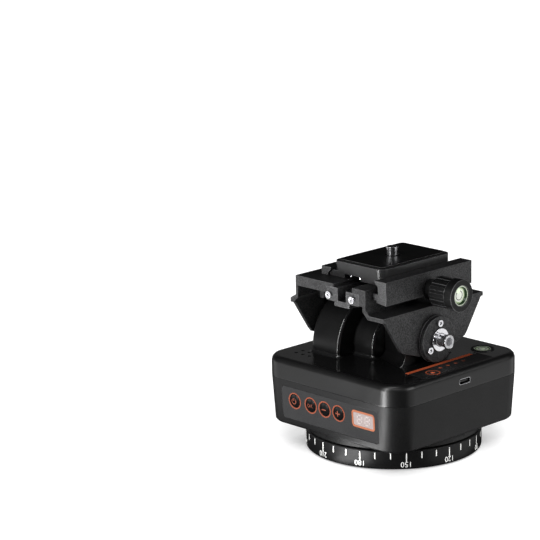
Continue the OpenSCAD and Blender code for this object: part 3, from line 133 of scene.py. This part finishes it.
finishes = {
    "satin_plastic": finish("satin_plastic", grey(0.003), grey(0.007), 0.46, specular=0.16,
                            grain=1900, relief=0.2, patchy=0.03),
    "rubber": finish("rubber", grey(0.002), grey(0.005), 0.42, specular=0.1,
                     grain=2600, relief=0.2),
    "steel": finish("steel", grey(0.4), grey(0.58), 0.24, metallic=1,
                    grain=900, relief=0.08, stretch=(0.15, 1, 1)),
    "white_plastic": finish("white_plastic", (0.74, 0.74, 0.72), (0.86, 0.86, 0.84), 0.5,
                            grain=3000, relief=0.06),
    "gear_plastic": finish("gear_plastic", (0.62, 0.6, 0.53), (0.72, 0.7, 0.62), 0.42,
                           grain=1500),
    "gloss_cover": finish("gloss_cover", grey(0.002), grey(0.004), 0.34, specular=0.32,
                          grain=1500, relief=0.08, patchy=0.03),
    "panel_film": finish("panel_film", grey(0.029), grey(0.046), 0.48, specular=0.35,
                         grain=2200, relief=0.12),
    "orange_print": finish("orange_print", (0.34, 0.062, 0.021), (0.43, 0.082, 0.03), 0.45,
                           specular=0.3, grain=2500, relief=0.05),
    "display_glass": finish("display_glass", (0.34, 0.28, 0.27), (0.4, 0.335, 0.325), 0.3,
                            coat=0.4, glow=0.1, grain=900, relief=0.02),
    "board_parts": finish("board_parts", grey(0.05), grey(0.1), 0.5, grain=1200),
    "black_plastic": finish("black_plastic", grey(0.004), grey(0.009), 0.34, specular=0.35,
                            grain=2200, relief=0.12),
    "green_vial": finish("green_vial", (0.32, 0.42, 0.24), (0.42, 0.52, 0.32), 0.16,
                         coat=0.6, coat_rough=0.04, grain=260, relief=0.02),
    "bronze": finish("bronze", (0.42, 0.27, 0.11), (0.56, 0.38, 0.17), 0.35, metallic=1,
                     grain=1300),
    "battery_wrap": finish("battery_wrap", (0.02, 0.05, 0.2), (0.03, 0.08, 0.28), 0.3, grain=700),
    "board": finish("board", (0.01, 0.1, 0.035), (0.016, 0.15, 0.05), 0.4, grain=900),
    "button_rubber": finish("button_rubber", grey(0.004), grey(0.009), 0.34, specular=0.25,
                            grain=2200, relief=0.08),
    "anodised": finish("anodised", grey(0.003), grey(0.056), 0.5, metallic=0.3, specular=0.36,
                       grain=1500, detail=5.0, rough_detail=0.85, spots=(0.43, 0.6),
                       relief=0.6, patchy=0.02),
    "chrome": finish("chrome", grey(0.7), grey(0.82), 0.13, metallic=1,
                     grain=1200, relief=0.05, patchy=0.04),
}
plate_black = finish("plate_black", grey(0.006), grey(0.022), 0.3, metallic=0.2,
                     grain=1700, detail=4.0, rough_detail=0.7, relief=0.2, patchy=0.02)
knob_black = finish("knob_black", grey(0.002), grey(0.006), 0.34, specular=0.16,
                    grain=2600, relief=0.12)
ring_print = finish("ring_print", (0.27, 0.072, 0.04), (0.35, 0.094, 0.052), 0.4, specular=0.3,
                    grain=2500, relief=0.05)
frame_print = finish("frame_print", (0.42, 0.14, 0.07), (0.52, 0.175, 0.09), 0.4, specular=0.3,
                     grain=2500, relief=0.05)
top_gloss = finish("top_gloss", grey(0.002), grey(0.004), 0.24, specular=0.4,
                   grain=1500, relief=0.03, patchy=0.03)
# A paler, duller copy of steel for the inside of the shaft's bore: painted light in the hole.
bore_painted_light = finish("bore_painted_light", grey(0.5), grey(0.66), 0.5, metallic=0.35,
                    grain=900, relief=0.1)
# A darker, duller finish for the sound holes' walls and rims: painted shade in the recesses.
hole_painted_shade = finish("hole_painted_shade", grey(0.0015), grey(0.003), 0.7, specular=0.05,
                   grain=1500, relief=0.1)
label_film = finish("label_film", grey(0.006), grey(0.011), 0.3, specular=0.4,
                    grain=2200, relief=0.06)
# Lighter, glossier finishes for rounded edges: partly real wear, partly painted highlight along the
# edges.
edge_wear_and_highlight = {
    "anodised": finish("anodised_edge", grey(0.035), grey(0.1), 0.38, metallic=0.5,
                       grain=1100, relief=0.4),
    "black_plastic": finish("black_edge", grey(0.015), grey(0.035), 0.24, specular=0.7,
                            grain=1800, relief=0.1),
    "rubber": finish("rubber_edge", grey(0.02), grey(0.045), 0.26, specular=0.7,
                     grain=1800, relief=0.2),
    "gloss_cover": finish("cover_edge", grey(0.004), grey(0.008), 0.2, specular=0.9,
                          grain=1500, relief=0.06, patchy=0.03),
}
# Near-black green for the cup's sloping inner wall, as painted shade in the recess, and for the
# printed ring mark on the vial's floor.
vial_shade_and_mark = finish("vial_shade_and_mark", (0.012, 0.03, 0.012), (0.03, 0.06, 0.025), 0.2, coat=0.5,
                   grain=300, relief=0.02)
vial_rim = finish("vial_rim", (0.34, 0.38, 0.3), (0.42, 0.46, 0.38), 0.22, coat=0.5,
                  grain=300, relief=0.02)
pale_liquid = finish("pale_liquid", (0.52, 0.54, 0.48), (0.6, 0.62, 0.56), 0.2,
                     coat=0.6, coat_rough=0.05, grain=300, relief=0.02)
bubble_clear = finish("bubble_clear", (0.62, 0.76, 0.52), (0.74, 0.85, 0.66), 0.1,
                      coat=1.0, coat_rough=0.02, grain=300, relief=0.01)
digit_glow = finish("digit_glow", (0.46, 0.4, 0.39), (0.53, 0.46, 0.45), 0.35, glow=0.14,
                    grain=900, relief=0.02)
lamp_lit = finish("lamp_lit", (0.54, 0.09, 0.025), (0.65, 0.124, 0.04), 0.25,
                  coat=0.8, glow=0.25, grain=700, relief=0.02)
lamp_dim = [finish("lamp_dim_%d" % i, (0.34 * k, 0.062 * k, 0.022 * k),
                   (0.4 * k, 0.08 * k, 0.03 * k), 0.3, coat=0.4, grain=700, relief=0.02)
            for i, k in enumerate((1.0, 0.75, 0.45, 0.25))]
for name, node in nodes.items():
    node.data.materials.clear()
    node.data.materials.append(finishes[slot_of[name]])

# Mesh helpers
SHARP = math.radians(48)
NEAR_FLAT = math.radians(0.4)
RIM_TURN = math.radians(25)
EDGE_TURN = math.radians(32)
EDGE_STEPS = 2
MERGE = 0.004
# Material slot of the lighter edge finish: partly wear, partly painted highlight.
WEAR_AND_HIGHLIGHT = 1
TURNS = 72
ON_AXIS = 1e-9


def piece(name, bm, material, body, even=True):
    """Makes a named piece of a bmesh, with smooth faces that break at sharp edges."""
    for f in bm.faces:
        f.smooth = True
    for e in bm.edges:
        if len(e.link_faces) == 2:
            e.smooth = e.calc_face_angle(0.0) < SHARP
    mesh = bpy.data.meshes.new(name)
    bm.to_mesh(mesh)
    bm.free()
    made = bpy.data.objects.new(name, mesh)
    scene.collection.objects.link(made)
    for m in material if isinstance(material, list) else [material]:
        mesh.materials.append(m)
    if even:
        made.modifiers.new("even_normals", "WEIGHTED_NORMAL").keep_sharp = True
    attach(made, body)
    return made


def round_edges(bm, edges, width, steps):
    """Rounds the chosen edges and gives back the new faces."""
    return bmesh.ops.bevel(bm, geom=edges, offset=width * MM, segments=steps, profile=0.5,
                           affect="EDGES", clamp_overlap=False, loop_slide=False)["faces"]


def dress(node, width, material=None, rims=(), own_faces=()):
    """Shows a CAD node with its outer edges rounded.

    rims has (test of a point, width, steps) for edges with a wider rounding, and own_faces has
    (test of a centre and a normal, finish) for faces with a finish of their own.
    """
    bm = bmesh.new()
    bm.from_mesh(nodes[node].data)
    bmesh.ops.remove_doubles(bm, verts=bm.verts, dist=MERGE * MM)
    bmesh.ops.dissolve_degenerate(bm, edges=bm.edges, dist=MERGE * MM)
    bmesh.ops.dissolve_limit(bm, angle_limit=NEAR_FLAT, use_dissolve_boundaries=False,
                             verts=bm.verts, edges=bm.edges)
    slot = slot_of[node]
    shown = [material or finishes[slot]]
    # Wider rims take the lighter edge finish: partly wear, partly painted highlight.
    for chosen, wide, steps in rims:
        edges = [e for e in bm.edges if e.is_convex and all(chosen(v.co / MM) for v in e.verts)
                 and e.calc_face_angle(0.0) > RIM_TURN]
        for f in round_edges(bm, edges, wide, steps):
            f.material_index = WEAR_AND_HIGHLIGHT
    if width:
        edges = [e for e in bm.edges if len(e.link_faces) == 2 and e.is_convex
                 and e.calc_face_angle(0.0) > EDGE_TURN]
        rounds = round_edges(bm, edges, width, EDGE_STEPS)
        # Rounded edges take the lighter edge finish where there is one: partly wear, partly painted
        # highlight.
        if slot in edge_wear_and_highlight:
            shown.append(edge_wear_and_highlight[slot])
            for f in rounds:
                f.material_index = WEAR_AND_HIGHLIGHT
    for chosen, look in own_faces:
        shown.append(look)
        bm.normal_update()
        for f in bm.faces:
            if chosen(f.calc_center_median() / MM, f.normal):
                f.material_index = len(shown) - 1
    made = piece(node + "_skin", bm, shown, rides_on[node])
    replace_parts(made, node)


def lathe(bm, profile, place, turns=TURNS):
    """Adds a turned shape: (radius, height) pairs about the z axis, carried by a matrix."""
    rings = []
    for r, h in profile:
        if r < ON_AXIS:
            rings.append([bm.verts.new(place @ Vector((0, 0, h * MM)))])
            continue
        ring = []
        for i in range(turns):
            a = 2 * math.pi * i / turns
            at = Vector((r * MM * math.cos(a), r * MM * math.sin(a), h * MM))
            ring.append(bm.verts.new(place @ at))
        rings.append(ring)
    faces = []
    for low, high in zip(rings, rings[1:]):
        for i in range(turns):
            j = (i + 1) % turns
            if len(low) == 1:
                corners = (low[0], high[j], high[i])
            elif len(high) == 1:
                corners = (low[i], low[j], high[0])
            else:
                corners = (low[i], low[j], high[j], high[i])
            faces.append(bm.faces.new(corners))
    return faces


def numeral(word, height):
    """Points and faces of a word in the built-in face, centred and of the given height."""
    curve = bpy.data.curves.new("numeral", "FONT")
    curve.body = word
    curve.align_x = "CENTER"
    curve.resolution_u = 4
    holder = bpy.data.objects.new("numeral", curve)
    scene.collection.objects.link(holder)
    bpy.context.view_layer.update()
    ready = holder.evaluated_get(bpy.context.evaluated_depsgraph_get())
    mesh = bpy.data.meshes.new_from_object(ready)
    bpy.data.objects.remove(holder)
    bpy.data.curves.remove(curve)
    ys = [v.co.y for v in mesh.vertices]
    k = height / (max(ys) - min(ys))
    middle = (max(ys) + min(ys)) / 2
    points = [(v.co.x * k, (v.co.y - middle) * k) for v in mesh.vertices]
    faces = [list(p.vertices) for p in mesh.polygons]
    bpy.data.meshes.remove(mesh)
    return points, faces


def strip(x0, x1, y0, y1, nx=4, ny=4):
    """Points and faces of a rectangle, parted so that it can follow a curved surface."""
    points = [(x0 + (x1 - x0) * i / nx, y0 + (y1 - y0) * j / ny)
              for j in range(ny + 1) for i in range(nx + 1)]
    row = nx + 1
    faces = [[j * row + i, j * row + i + 1, (j + 1) * row + i + 1, (j + 1) * row + i]
             for j in range(ny) for i in range(nx)]
    return points, faces


def arc(r0, r1, a0, a1, n=36):
    """Points and faces of part of a flat ring, between two angles in degrees."""
    points = []
    for i in range(n + 1):
        a = math.radians(a0 + (a1 - a0) * i / n)
        points += [(r * math.cos(a), r * math.sin(a)) for r in (r0, r1)]
    return points, [[2 * i, 2 * i + 1, 2 * i + 3, 2 * i + 2] for i in range(n)]


def rounded_ring(width, height, corner, border, n=10):
    """Points and faces of a flat frame with rounded corners, even in width."""
    points = []
    for cx, cy, start in ((1, 1, 0), (-1, 1, 90), (-1, -1, 180), (1, -1, 270)):
        for i in range(n + 1):
            a = math.radians(start + 90 * i / n)
            for r in (corner - border, corner):
                points.append((cx * (width / 2 - corner) + r * math.cos(a),
                               cy * (height / 2 - corner) + r * math.sin(a)))
    count = len(points) // 2
    pairs = [(2 * i, 2 * ((i + 1) % count)) for i in range(count)]
    return points, [[a, a + 1, b + 1, b] for a, b in pairs]


def print_on(bm, points, faces, carry, thick=0.04):
    """Adds a thin raised print: flat points are carried to the surface, with a height out of it."""
    low = [bm.verts.new(carry(x, y, -thick)) for x, y in points]
    high = [bm.verts.new(carry(x, y, thick)) for x, y in points]
    sides = {}
    for f in faces:
        bm.faces.new([high[i] for i in f])
        bm.faces.new([low[i] for i in reversed(f)])
        for a, b in zip(f, f[1:] + f[:1]):
            sides[(a, b)] = True
    for a, b in sides:
        if (b, a) not in sides:
            bm.faces.new((high[b], high[a], low[a], low[b]))


# Outer pieces, each with the rounding of its edges
rounded = {
    "base_disc": 0.25, "base_pad": 0.2, "tripod_bush": 0.15, "base_screws": 0.1,
    "lower_case": 0.2, "upper_cover": 0.22, "control_panel": 0.06, "button_rings": 0.0,
    "display_window": 0.0, "power_button": 0.12, "mode_button": 0.12, "minus_button": 0.12,
    "plus_button": 0.12, "usb_socket": 0.06, "usb_tongue": 0.08, "top_label": 0.04,
    "accent_print": 0.0, "level_bezel": 0.15, "case_screws": 0.1, "left_yoke": 0.22,
    "right_yoke": 0.22, "channel_bar": 0.18, "channel_screws": 0.12, "right_hub": 0.25,
    "left_hub": 0.25, "hub_screws": 0.12, "hub_washer": 0.15, "tilt_shaft": 0.12,
    "fixed_jaw": 0.22, "guide_pins": 0.12, "moving_jaw": 0.15, "clamp_knob": 0.25,
    "knob_grip": 0.22, "clamp_spindle": 0.12, "quick_plate": 0.2, "plate_pad": 0.15,
    "stop_screws": 0.08, "camera_screw": 0.12,
}
STEP_RIMS = (-13.4, -12.6, 1.2, 2.0)
FLARE_X, FLARE_TOP = 24.0, 61.0
RIM_LOW, ON_RIM = 50.9, 0.03
HOLES_X, HOLES_Y, HOLES_LOW = (-39, -25), (-39, -29.5), 48
BORE_R, BORE_MOUTH, BORE_FLOOR = 2.36, 25, 38


def on_step_rim(p):
    """Points on the two edges of the slope at the right rim of the turret's first two steps."""
    return p.z > RIM_LOW and min(abs(p.x - x) for x in STEP_RIMS) < ON_RIM


def on_flare_rim(p):
    """Points on the right rim of the turret's flared third step."""
    return RIM_LOW < p.z < FLARE_TOP and abs(p.x - FLARE_X) < ON_RIM


def on_top(p, way):
    """The cover's flat top."""
    return way.z > 0.99 and abs(p.z - TOP_Z) < 0.05


def by_sound_hole(p, way):
    """Walls and rims of the sound holes in the cover's top, which take a darker finish as painted
    shade.
    """
    return (way.z < 0.9 and p.z > HOLES_LOW and HOLES_X[0] < p.x < HOLES_X[1]
            and HOLES_Y[0] < p.y < HOLES_Y[1])


def in_shaft_bore(p, way):
    """The inside of the tilt shaft's hollow right end, which takes a paler finish as painted light.
    """
    return (p.x > BORE_MOUTH and math.hypot(p.y, p.z - SHAFT_Z) < BORE_R
            and (abs(way.x) < 0.5 or p.x < BORE_FLOOR))


own_finish = {"top_label": label_film, "clamp_knob": knob_black, "button_rings": ring_print,
              "quick_plate": plate_black}
wide_rims = {"upper_cover": ((on_step_rim, 0.26, 3), (on_flare_rim, 0.5, 5))}
# Faces with finishes of their own: painted shade in the sound holes and painted light in the
# shaft's bore.
own_faces = {"upper_cover": ((on_top, top_gloss), (by_sound_hole, hole_painted_shade)),
             "tilt_shaft": ((in_shaft_bore, bore_painted_light),)}
for node, width in rounded.items():
    dress(node, width, own_finish.get(node), wide_rims.get(node, ()), own_faces.get(node, ()))

# Hollow rounding where the turret's first two steps rise from the cover, front and back alike.
# A step has its left and right end, its half depth and the cut of its left corner.
STEPS = ((-33.7, -12.6, 29.2, 2.0), (-12.6, 2.0, 17.6, 0.0))
FOOT = 2.0
FOOT_STEPS = 8
RIM = 0.8
RIM_STEPS = 6
FADE, FADED = 3.0, 0.05
LEAD, STRAIGHT = 0.3, 0.4
IN_WALL, IN_TOP = 0.03, 0.02


def lean(degrees):
    return math.sin(math.radians(degrees)), math.cos(math.radians(degrees))


def foot_path(left, right_end, y, cut):
    """Line of a step's foot as (x, y, size, heading), fading out where it runs in under a step."""
    if cut:
        path = [(left, y - cut - FADE, FADED, -90), (left, y - cut - LEAD, FOOT, -90),
                (left, y - cut, FOOT, -67.5), (left + LEAD, y - cut + LEAD, FOOT, -45),
                (left + cut - LEAD, y - LEAD, FOOT, -45), (left + cut, y, FOOT, -22.5),
                (left + cut + STRAIGHT, y, FOOT, 0)]
    else:
        path = [(left - LEAD, y, FOOT, 0)]
    path += [(left / 2 + right_end / 2, y, FOOT, 0), (right_end - RIM - STRAIGHT, y, FOOT, 0)]
    for k in range(RIM_STEPS + 1):
        share = k / RIM_STEPS
        path.append((right_end - RIM * (1 - share), y - RIM * share, FOOT, 15 + 60 * share))
    return path + [(right_end, y - RIM - LEAD, FOOT, 90), (right_end, y - RIM - FADE, FADED, 90)]


def foot_section(bm, side, x, y, size, heading):
    """Section of the foot: a quarter arc from the wall to the top, and the corner behind it."""
    nx, ny = lean(heading)
    section = []
    for k in range(FOOT_STEPS + 1):
        drop, spread = lean(90 * k / FOOT_STEPS)
        section.append((size * (1 - spread), size * (1 - drop)))
    section.append((0, 0))
    return [bm.verts.new(Vector((x + nx * (out - IN_WALL), side * (y + ny * (out - IN_WALL)),
                                 TOP_Z + rise - IN_TOP)) * MM) for out, rise in section]


bm = bmesh.new()
for side in (-1, 1):
    for step in STEPS:
        rows = [foot_section(bm, side, *stop) for stop in foot_path(*step)]
        for low, high in zip(rows, rows[1:]):
            for k in range(len(low)):
                n = (k + 1) % len(low)
                bm.faces.new((low[k], low[n], high[n], high[k]))
        bm.faces.new(rows[0])
        bm.faces.new(rows[-1])
bmesh.ops.recalc_face_normals(bm, faces=bm.faces)
# The foot takes the cover's lighter edge finish: partly wear, partly painted highlight.
piece("turret_foot", bm, edge_wear_and_highlight["gloss_cover"], "head")

# Degree scale printed round the disc, read from above the head
DISC_R = 47.5
ZERO = 111.15
TICK_EVERY, NUMBER_EVERY = 10, 30
TICK_WIDE, TICK_TOP = 0.55, 9.5
LONG_TICK, SHORT_TICK = 5.0, 3.5
NUMBER_HIGH, NUMBER_Z = 2.9, 3.05


def on_disc(degree, mid_z):
    """Carries a print to the disc's side, upside down as on the object."""
    def carry(x, y, out):
        a = math.radians(ZERO - degree) - x / DISC_R
        r = (DISC_R + out) * MM
        return Vector((r * math.cos(a), r * math.sin(a), (mid_z - y) * MM))
    return carry


bm = bmesh.new()
for degree in range(0, 360, TICK_EVERY):
    numbered = degree % NUMBER_EVERY == 0
    length = LONG_TICK if numbered else SHORT_TICK
    print_on(bm, *strip(-TICK_WIDE / 2, TICK_WIDE / 2, -length / 2, length / 2, 2, 4),
             on_disc(degree, TICK_TOP - length / 2))
    if numbered:
        print_on(bm, *numeral(str(degree), NUMBER_HIGH), on_disc(degree, NUMBER_Z))
piece("degree_scale", bm, finishes["white_plastic"], "base", even=False)

# The leaning front, with the line of the buttons and the display on it
LEAN = math.atan2(1.65, 25.5)
FRONT_Y, FRONT_Z = -50, 39.6
ROW = -10.626


def on_front(x, y, z):
    """A point in the front's own axes: y into the case and z up the slope."""
    return Vector((x, FRONT_Y + y * math.cos(LEAN) - z * math.sin(LEAN),
                   FRONT_Z + y * math.sin(LEAN) + z * math.cos(LEAN))) * MM


# Signs on the buttons, printed over their domes
DOME_R = 9.0
DOME_MID = 8.35
SIGN_THICK = 0.03


def on_dome(centre):
    """Carries a print to the dome of the button at that place in the row."""
    def carry(x, y, out):
        return on_front(centre + x, DOME_MID - math.sqrt(DOME_R ** 2 - x * x - y * y) - out,
                        ROW + y)
    return carry


signs = {
    "power": (-25.8, [arc(1.25, 1.68, -235, 55), strip(-0.22, 0.22, 0.35, 1.9)]),
    "mode": (-13.8, [numeral("OK", 1.95)]),
    "minus": (-3.5, [strip(-1.6, 1.6, -0.3, 0.3)]),
    "plus": (6.7, [strip(-1.6, 1.6, -0.32, 0.32, 6, 2), strip(-0.32, 0.32, 0.32, 1.6, 2, 3),
                   strip(-0.32, 0.32, -1.6, -0.32, 2, 3)]),
}
for name, (centre, marks) in signs.items():
    bm = bmesh.new()
    for points, faces in marks:
        print_on(bm, points, faces, on_dome(centre), SIGN_THICK)
    piece(name + "_sign", bm, ring_print, name + "_button", even=False)

# Display: two seven-bar figures behind the window, and its printed frame
DISPLAY_X = 24.6
FIGURE_GAP, FIGURE_SLANT = 5.5, 0.12
FIGURE_Y, FIGURE_THICK = 0.2, 0.02
FRAME_Y, FRAME_THICK = 0.15, 0.06
level_bars = [(-1.2, 1.2, 1.85, 2.6), (-1.2, 1.2, -0.37, 0.37), (-1.2, 1.2, -2.6, -1.85)]
upright_bars = [(1.2, 1.9, 0.3, 1.9), (1.2, 1.9, -1.9, -0.3),
                (-1.9, -1.2, 0.3, 1.9), (-1.9, -1.2, -1.9, -0.3)]


def on_display(middle, depth, slant=0.0):
    """Carries a print to the display, at a depth from the front's plane."""
    def carry(x, y, out):
        return on_front(middle + x + slant * y, depth - out, ROW + y)
    return carry


bm = bmesh.new()
for middle in (DISPLAY_X - FIGURE_GAP / 2, DISPLAY_X + FIGURE_GAP / 2):
    for bar in level_bars + upright_bars:
        print_on(bm, *strip(*bar, 1, 1), on_display(middle, FIGURE_Y, FIGURE_SLANT), FIGURE_THICK)
piece("display_figures", bm, digit_glow, "head", even=False)
bm = bmesh.new()
print_on(bm, *rounded_ring(16.3, 9.3, 1.9, 1.08), on_display(DISPLAY_X, FRAME_Y), FRAME_THICK)
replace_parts(piece("display_frame_print", bm, frame_print, "head", even=False),
            "display_frame")

# Levels: a recessed vial with a ring mark on its pale floor, and a bubble
VIAL, WALL, LIP, LIQUID = range(4)
# The sloping inner wall takes the near-black finish as painted shade.
CUP_BANDS = (VIAL, VIAL, VIAL, LIP, LIP, LIP, WALL, VIAL, LIQUID, LIQUID)
BUBBLE_R, BUBBLE_RISE, BUBBLE_LOW = 0.27, 0.2, 0.03


def level(name, node, centre, turn, r, depth, sunk, bubble):
    """A round level seen along the turned z axis, its top at the centre point.

    The floor lies sunk below the rim, and the bubble's place is given in shares of the radius.
    """
    place = Matrix.Translation(Vector(centre) * MM) @ turn
    body, slot = rides_on[node], slot_of[node]
    bm = bmesh.new()
    cup = lathe(bm, [(0, -depth), (r * 0.97, -depth), (r * 0.99, -depth + 0.2),
                     (r * 0.99, -0.12), (r * 0.97, 0.0), (r * 0.9, 0.02), (r * 0.87, -0.04),
                     (r * 0.76, -sunk), (r * 0.62, -sunk + 0.03), (r * 0.5, -sunk + 0.05),
                     (0, -sunk + 0.06)], place)
    for number, f in enumerate(cup):
        f.material_index = CUP_BANDS[number // TURNS]
    vial = piece(name + "_glass", bm, [finishes["green_vial"], vial_shade_and_mark, vial_rim, pale_liquid],
                 body)
    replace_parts(vial, node)
    bm = bmesh.new()
    lathe(bm, [(r * 0.47, -sunk), (r * 0.47, -sunk + 0.1), (r * 0.4, -sunk + 0.11),
               (r * 0.4, -sunk), (r * 0.47, -sunk)], place)
    bmesh.ops.remove_doubles(bm, verts=bm.verts, dist=0.001 * MM)
    piece(name + "_ring", bm, vial_shade_and_mark, body)
    bm = bmesh.new()
    low = BUBBLE_LOW - sunk
    dome = [(0, low)]
    for degrees in range(0, 90, 15):
        rise, reach = lean(degrees)
        dome.append((r * BUBBLE_R * reach, low + BUBBLE_RISE * rise))
    dome.append((0, low + BUBBLE_RISE))
    shift = Matrix.Translation((bubble[0] * r * MM, bubble[1] * r * MM, 0))
    lathe(bm, dome, place @ shift)
    piece(name + "_bubble", bm, bubble_clear, body)


level("top_level", "level_vial", (32, 36, 51.2), Matrix.Identity(4),
      4.75, 3.6, 0.22, (0.05, 0.04))
level("knob_level", "knob_vial", (48.4, 0, 90.3), Matrix.Rotation(math.pi / 2, 4, "Y"),
      5.5, 2.4, 1.4, (-0.46, -0.1))

# Lamps on the label: one lit lens in its ring and a fading row, as (x, y, radius)
LENS_LOW, LENS_TURNS = -1.2, 40
lenses = [(42.6, -15.4, 1.3)] + [(39.6, -6.2 + 6 * i, 1.1) for i in range(len(lamp_dim))]
bm = bmesh.new()
for number, (x, y, r) in enumerate(lenses):
    faces = lathe(bm, [(0, LENS_LOW), (r * 0.99, LENS_LOW), (r * 0.99, 0.06), (r * 0.9, 0.13),
                       (r * 0.6, 0.2), (0, 0.23)],
                  Matrix.Translation(Vector((x, y, TOP_Z)) * MM), LENS_TURNS)
    for f in faces:
        f.material_index = number
lamps = piece("label_lamps", bm, [lamp_lit] + lamp_dim, "head")
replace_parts(lamps, "indicator_leds")

# Floor, a little below the pad
FLOOR_Z = -0.2
FLOOR_TURNS = 96
bm = bmesh.new()
lathe(bm, [(0, 0), (400, 0), (1500, 0), (4000, 0), (9000, 0)], Matrix.Identity(4), FLOOR_TURNS)
floor_mesh = bpy.data.meshes.new("floor")
bm.to_mesh(floor_mesh)
bm.free()
floor = bpy.data.objects.new("floor", floor_mesh)
floor.location.z = FLOOR_Z * MM
scene.collection.objects.link(floor)
floor_mesh.materials.append(finish("pale_floor", (0.79, 0.79, 0.79), (0.82, 0.82, 0.82), 0.6,
                                   specular=0.2, glow=0.4, grain=300, relief=0.02))
floor.visible_glossy = False

# Light
AIM = Vector((0, 0, 0.05))


def soft_panel(name, width, height, radiance):
    """A soft lamp of a size in m."""
    light = bpy.data.lights.new(name, "AREA")
    light.shape = "RECTANGLE"
    light.size, light.size_y = width, height
    light.energy = radiance * math.pi * width * height
    lamp = bpy.data.objects.new(name, light)
    scene.collection.objects.link(lamp)
    return lamp


def aim(lamp, azimuth, elevation, distance):
    """Faces a lamp to the head; azimuth runs from the front, towards the right."""
    az, el = math.radians(azimuth), math.radians(elevation)
    way = Vector((math.sin(az) * math.cos(el), -math.cos(az) * math.cos(el), math.sin(el)))
    lamp.location = way * distance + AIM
    lamp.rotation_euler = way.to_track_quat("Z", "Y").to_euler()


def keep_to(lamp, state, members):
    """Lets a lamp light these objects alone, or all but these."""
    group = bpy.data.collections.new(lamp.name + "_reach")
    for member in members:
        group.objects.link(member)
    for link in group.collection_objects:
        link.light_linking.link_state = state
    lamp.light_linking.receiver_collection = group
    lamp.visible_camera = False


def named(*names):
    return [bpy.data.objects[n] for n in names]


yokes = named("left_yoke_skin", "right_yoke_skin")
bracket = yokes + named("channel_bar_skin", "fixed_jaw_skin", "moving_jaw_skin", "left_hub_skin",
                        "right_hub_skin")
cover = named("upper_cover_skin", "turret_foot")
top_level = named("top_level_glass", "top_level_ring", "top_level_bubble")
low_pieces = named("lower_case_skin", "base_disc_skin", "degree_scale")
front = named("control_panel_skin", "display_window_skin", "display_frame_print",
              "display_figures", "button_rings_skin", "power_button_skin", "mode_button_skin",
              "minus_button_skin", "plus_button_skin", "power_sign", "mode_sign", "minus_sign",
              "plus_sign")

# Panels round the head: azimuth, elevation, distance, width, height, radiance, reach
for name, azimuth, elevation, distance, width, height, radiance, state, members in (
        ("floor_light", 0, 90, 3.2, 7.0, 7.0, 1.5, "INCLUDE", [floor]),
        ("floor_front", 46, 36, 6.0, 4.0, 4.0, 7.0, "INCLUDE", [floor]),
        ("tall_strip", -6, 24, 1.6, 0.14, 1.4, 40, "EXCLUDE", [floor] + bracket),
        ("low_front", -24, 4, 1.3, 0.7, 0.3, 18, "INCLUDE", bracket),
        ("left_fill", -52, 10, 1.6, 1.0, 0.6, 2.6, "EXCLUDE", [floor] + cover),
        ("back_sheet", -134, 16, 1.5, 1.6, 0.8, 0.11, "INCLUDE", cover),
        ("high_strip", -6, 70, 1.5, 0.1, 1.1, 20, "INCLUDE", cover),
        ("level_light", 30, 75, 1.2, 0.5, 0.5, 3.0, "INCLUDE", top_level),
        ("rear_fill", 225, 8, 1.6, 1.4, 0.6, 5.0, "INCLUDE", low_pieces),
        ("front_key", 45, 42, 1.6, 1.0, 0.8, 1.8, "EXCLUDE", [floor]),
        ("side_fill", 112, 24, 1.8, 1.2, 0.8, 5.6, "EXCLUDE", [floor])):
    lamp = soft_panel(name, width, height, radiance)
    aim(lamp, azimuth, elevation, distance)
    keep_to(lamp, state, members)

# Sheets of light that lie on the floor and face up: x, y, width, length, radiance, what they skip
SHEET_Z = 0.5
for name, x, y, width, length, radiance, skipped in (
        ("near_strip", 12, -74, 26, 46, 14, [floor] + front + yokes),
        ("low_strip", 13, -140, 22, 84, 46, [floor] + front + yokes),
        ("far_strip", -16, -360, 46, 340, 46, [floor] + front + yokes),
        ("left_sheet", -380, -430, 640, 740, 1.2, [floor] + front),
        ("right_sheet", 375, 390, 650, 820, 1.0, [floor]),
        ("rear_sheet", -380, 430, 640, 740, 1.2, [floor])):
    lamp = soft_panel(name, width * MM, length * MM, radiance)
    lamp.location = Vector((x, y, SHEET_Z)) * MM
    lamp.rotation_euler = (math.pi, 0, 0)
    keep_to(lamp, "EXCLUDE", skipped)

world = bpy.data.worlds.new("studio")
world.use_nodes = True
sky = world.node_tree.nodes["Background"]
sky.inputs["Color"].default_value = (0.05, 0.05, 0.052, 1)
sky.inputs["Strength"].default_value = 0.35
scene.world = world
scene.view_settings.view_transform = "Standard"

# Camera, as solved from the photograph; its place is in m
AZ, PITCH, ROLL = math.radians(46.242), math.radians(14.017), math.radians(1.099)
CAMERA_AT = (0.812545, -0.868391, 0.393803)
back = Vector((math.sin(AZ) * math.cos(PITCH), -math.cos(AZ) * math.cos(PITCH), math.sin(PITCH)))
right = Vector((math.cos(AZ), math.sin(AZ), 0))
up = back.cross(right)
across = math.cos(ROLL) * right - math.sin(ROLL) * up
upright = math.sin(ROLL) * right + math.cos(ROLL) * up
lens = bpy.data.cameras.new("camera")
lens.sensor_width = 36
lens.lens = 153.34
lens.clip_end = 60
camera = bpy.data.objects.new("camera", lens)
camera.matrix_world = Matrix((*zip(across, upright, back, CAMERA_AT), (0, 0, 0, 1)))
scene.collection.objects.link(camera)
scene.camera = camera
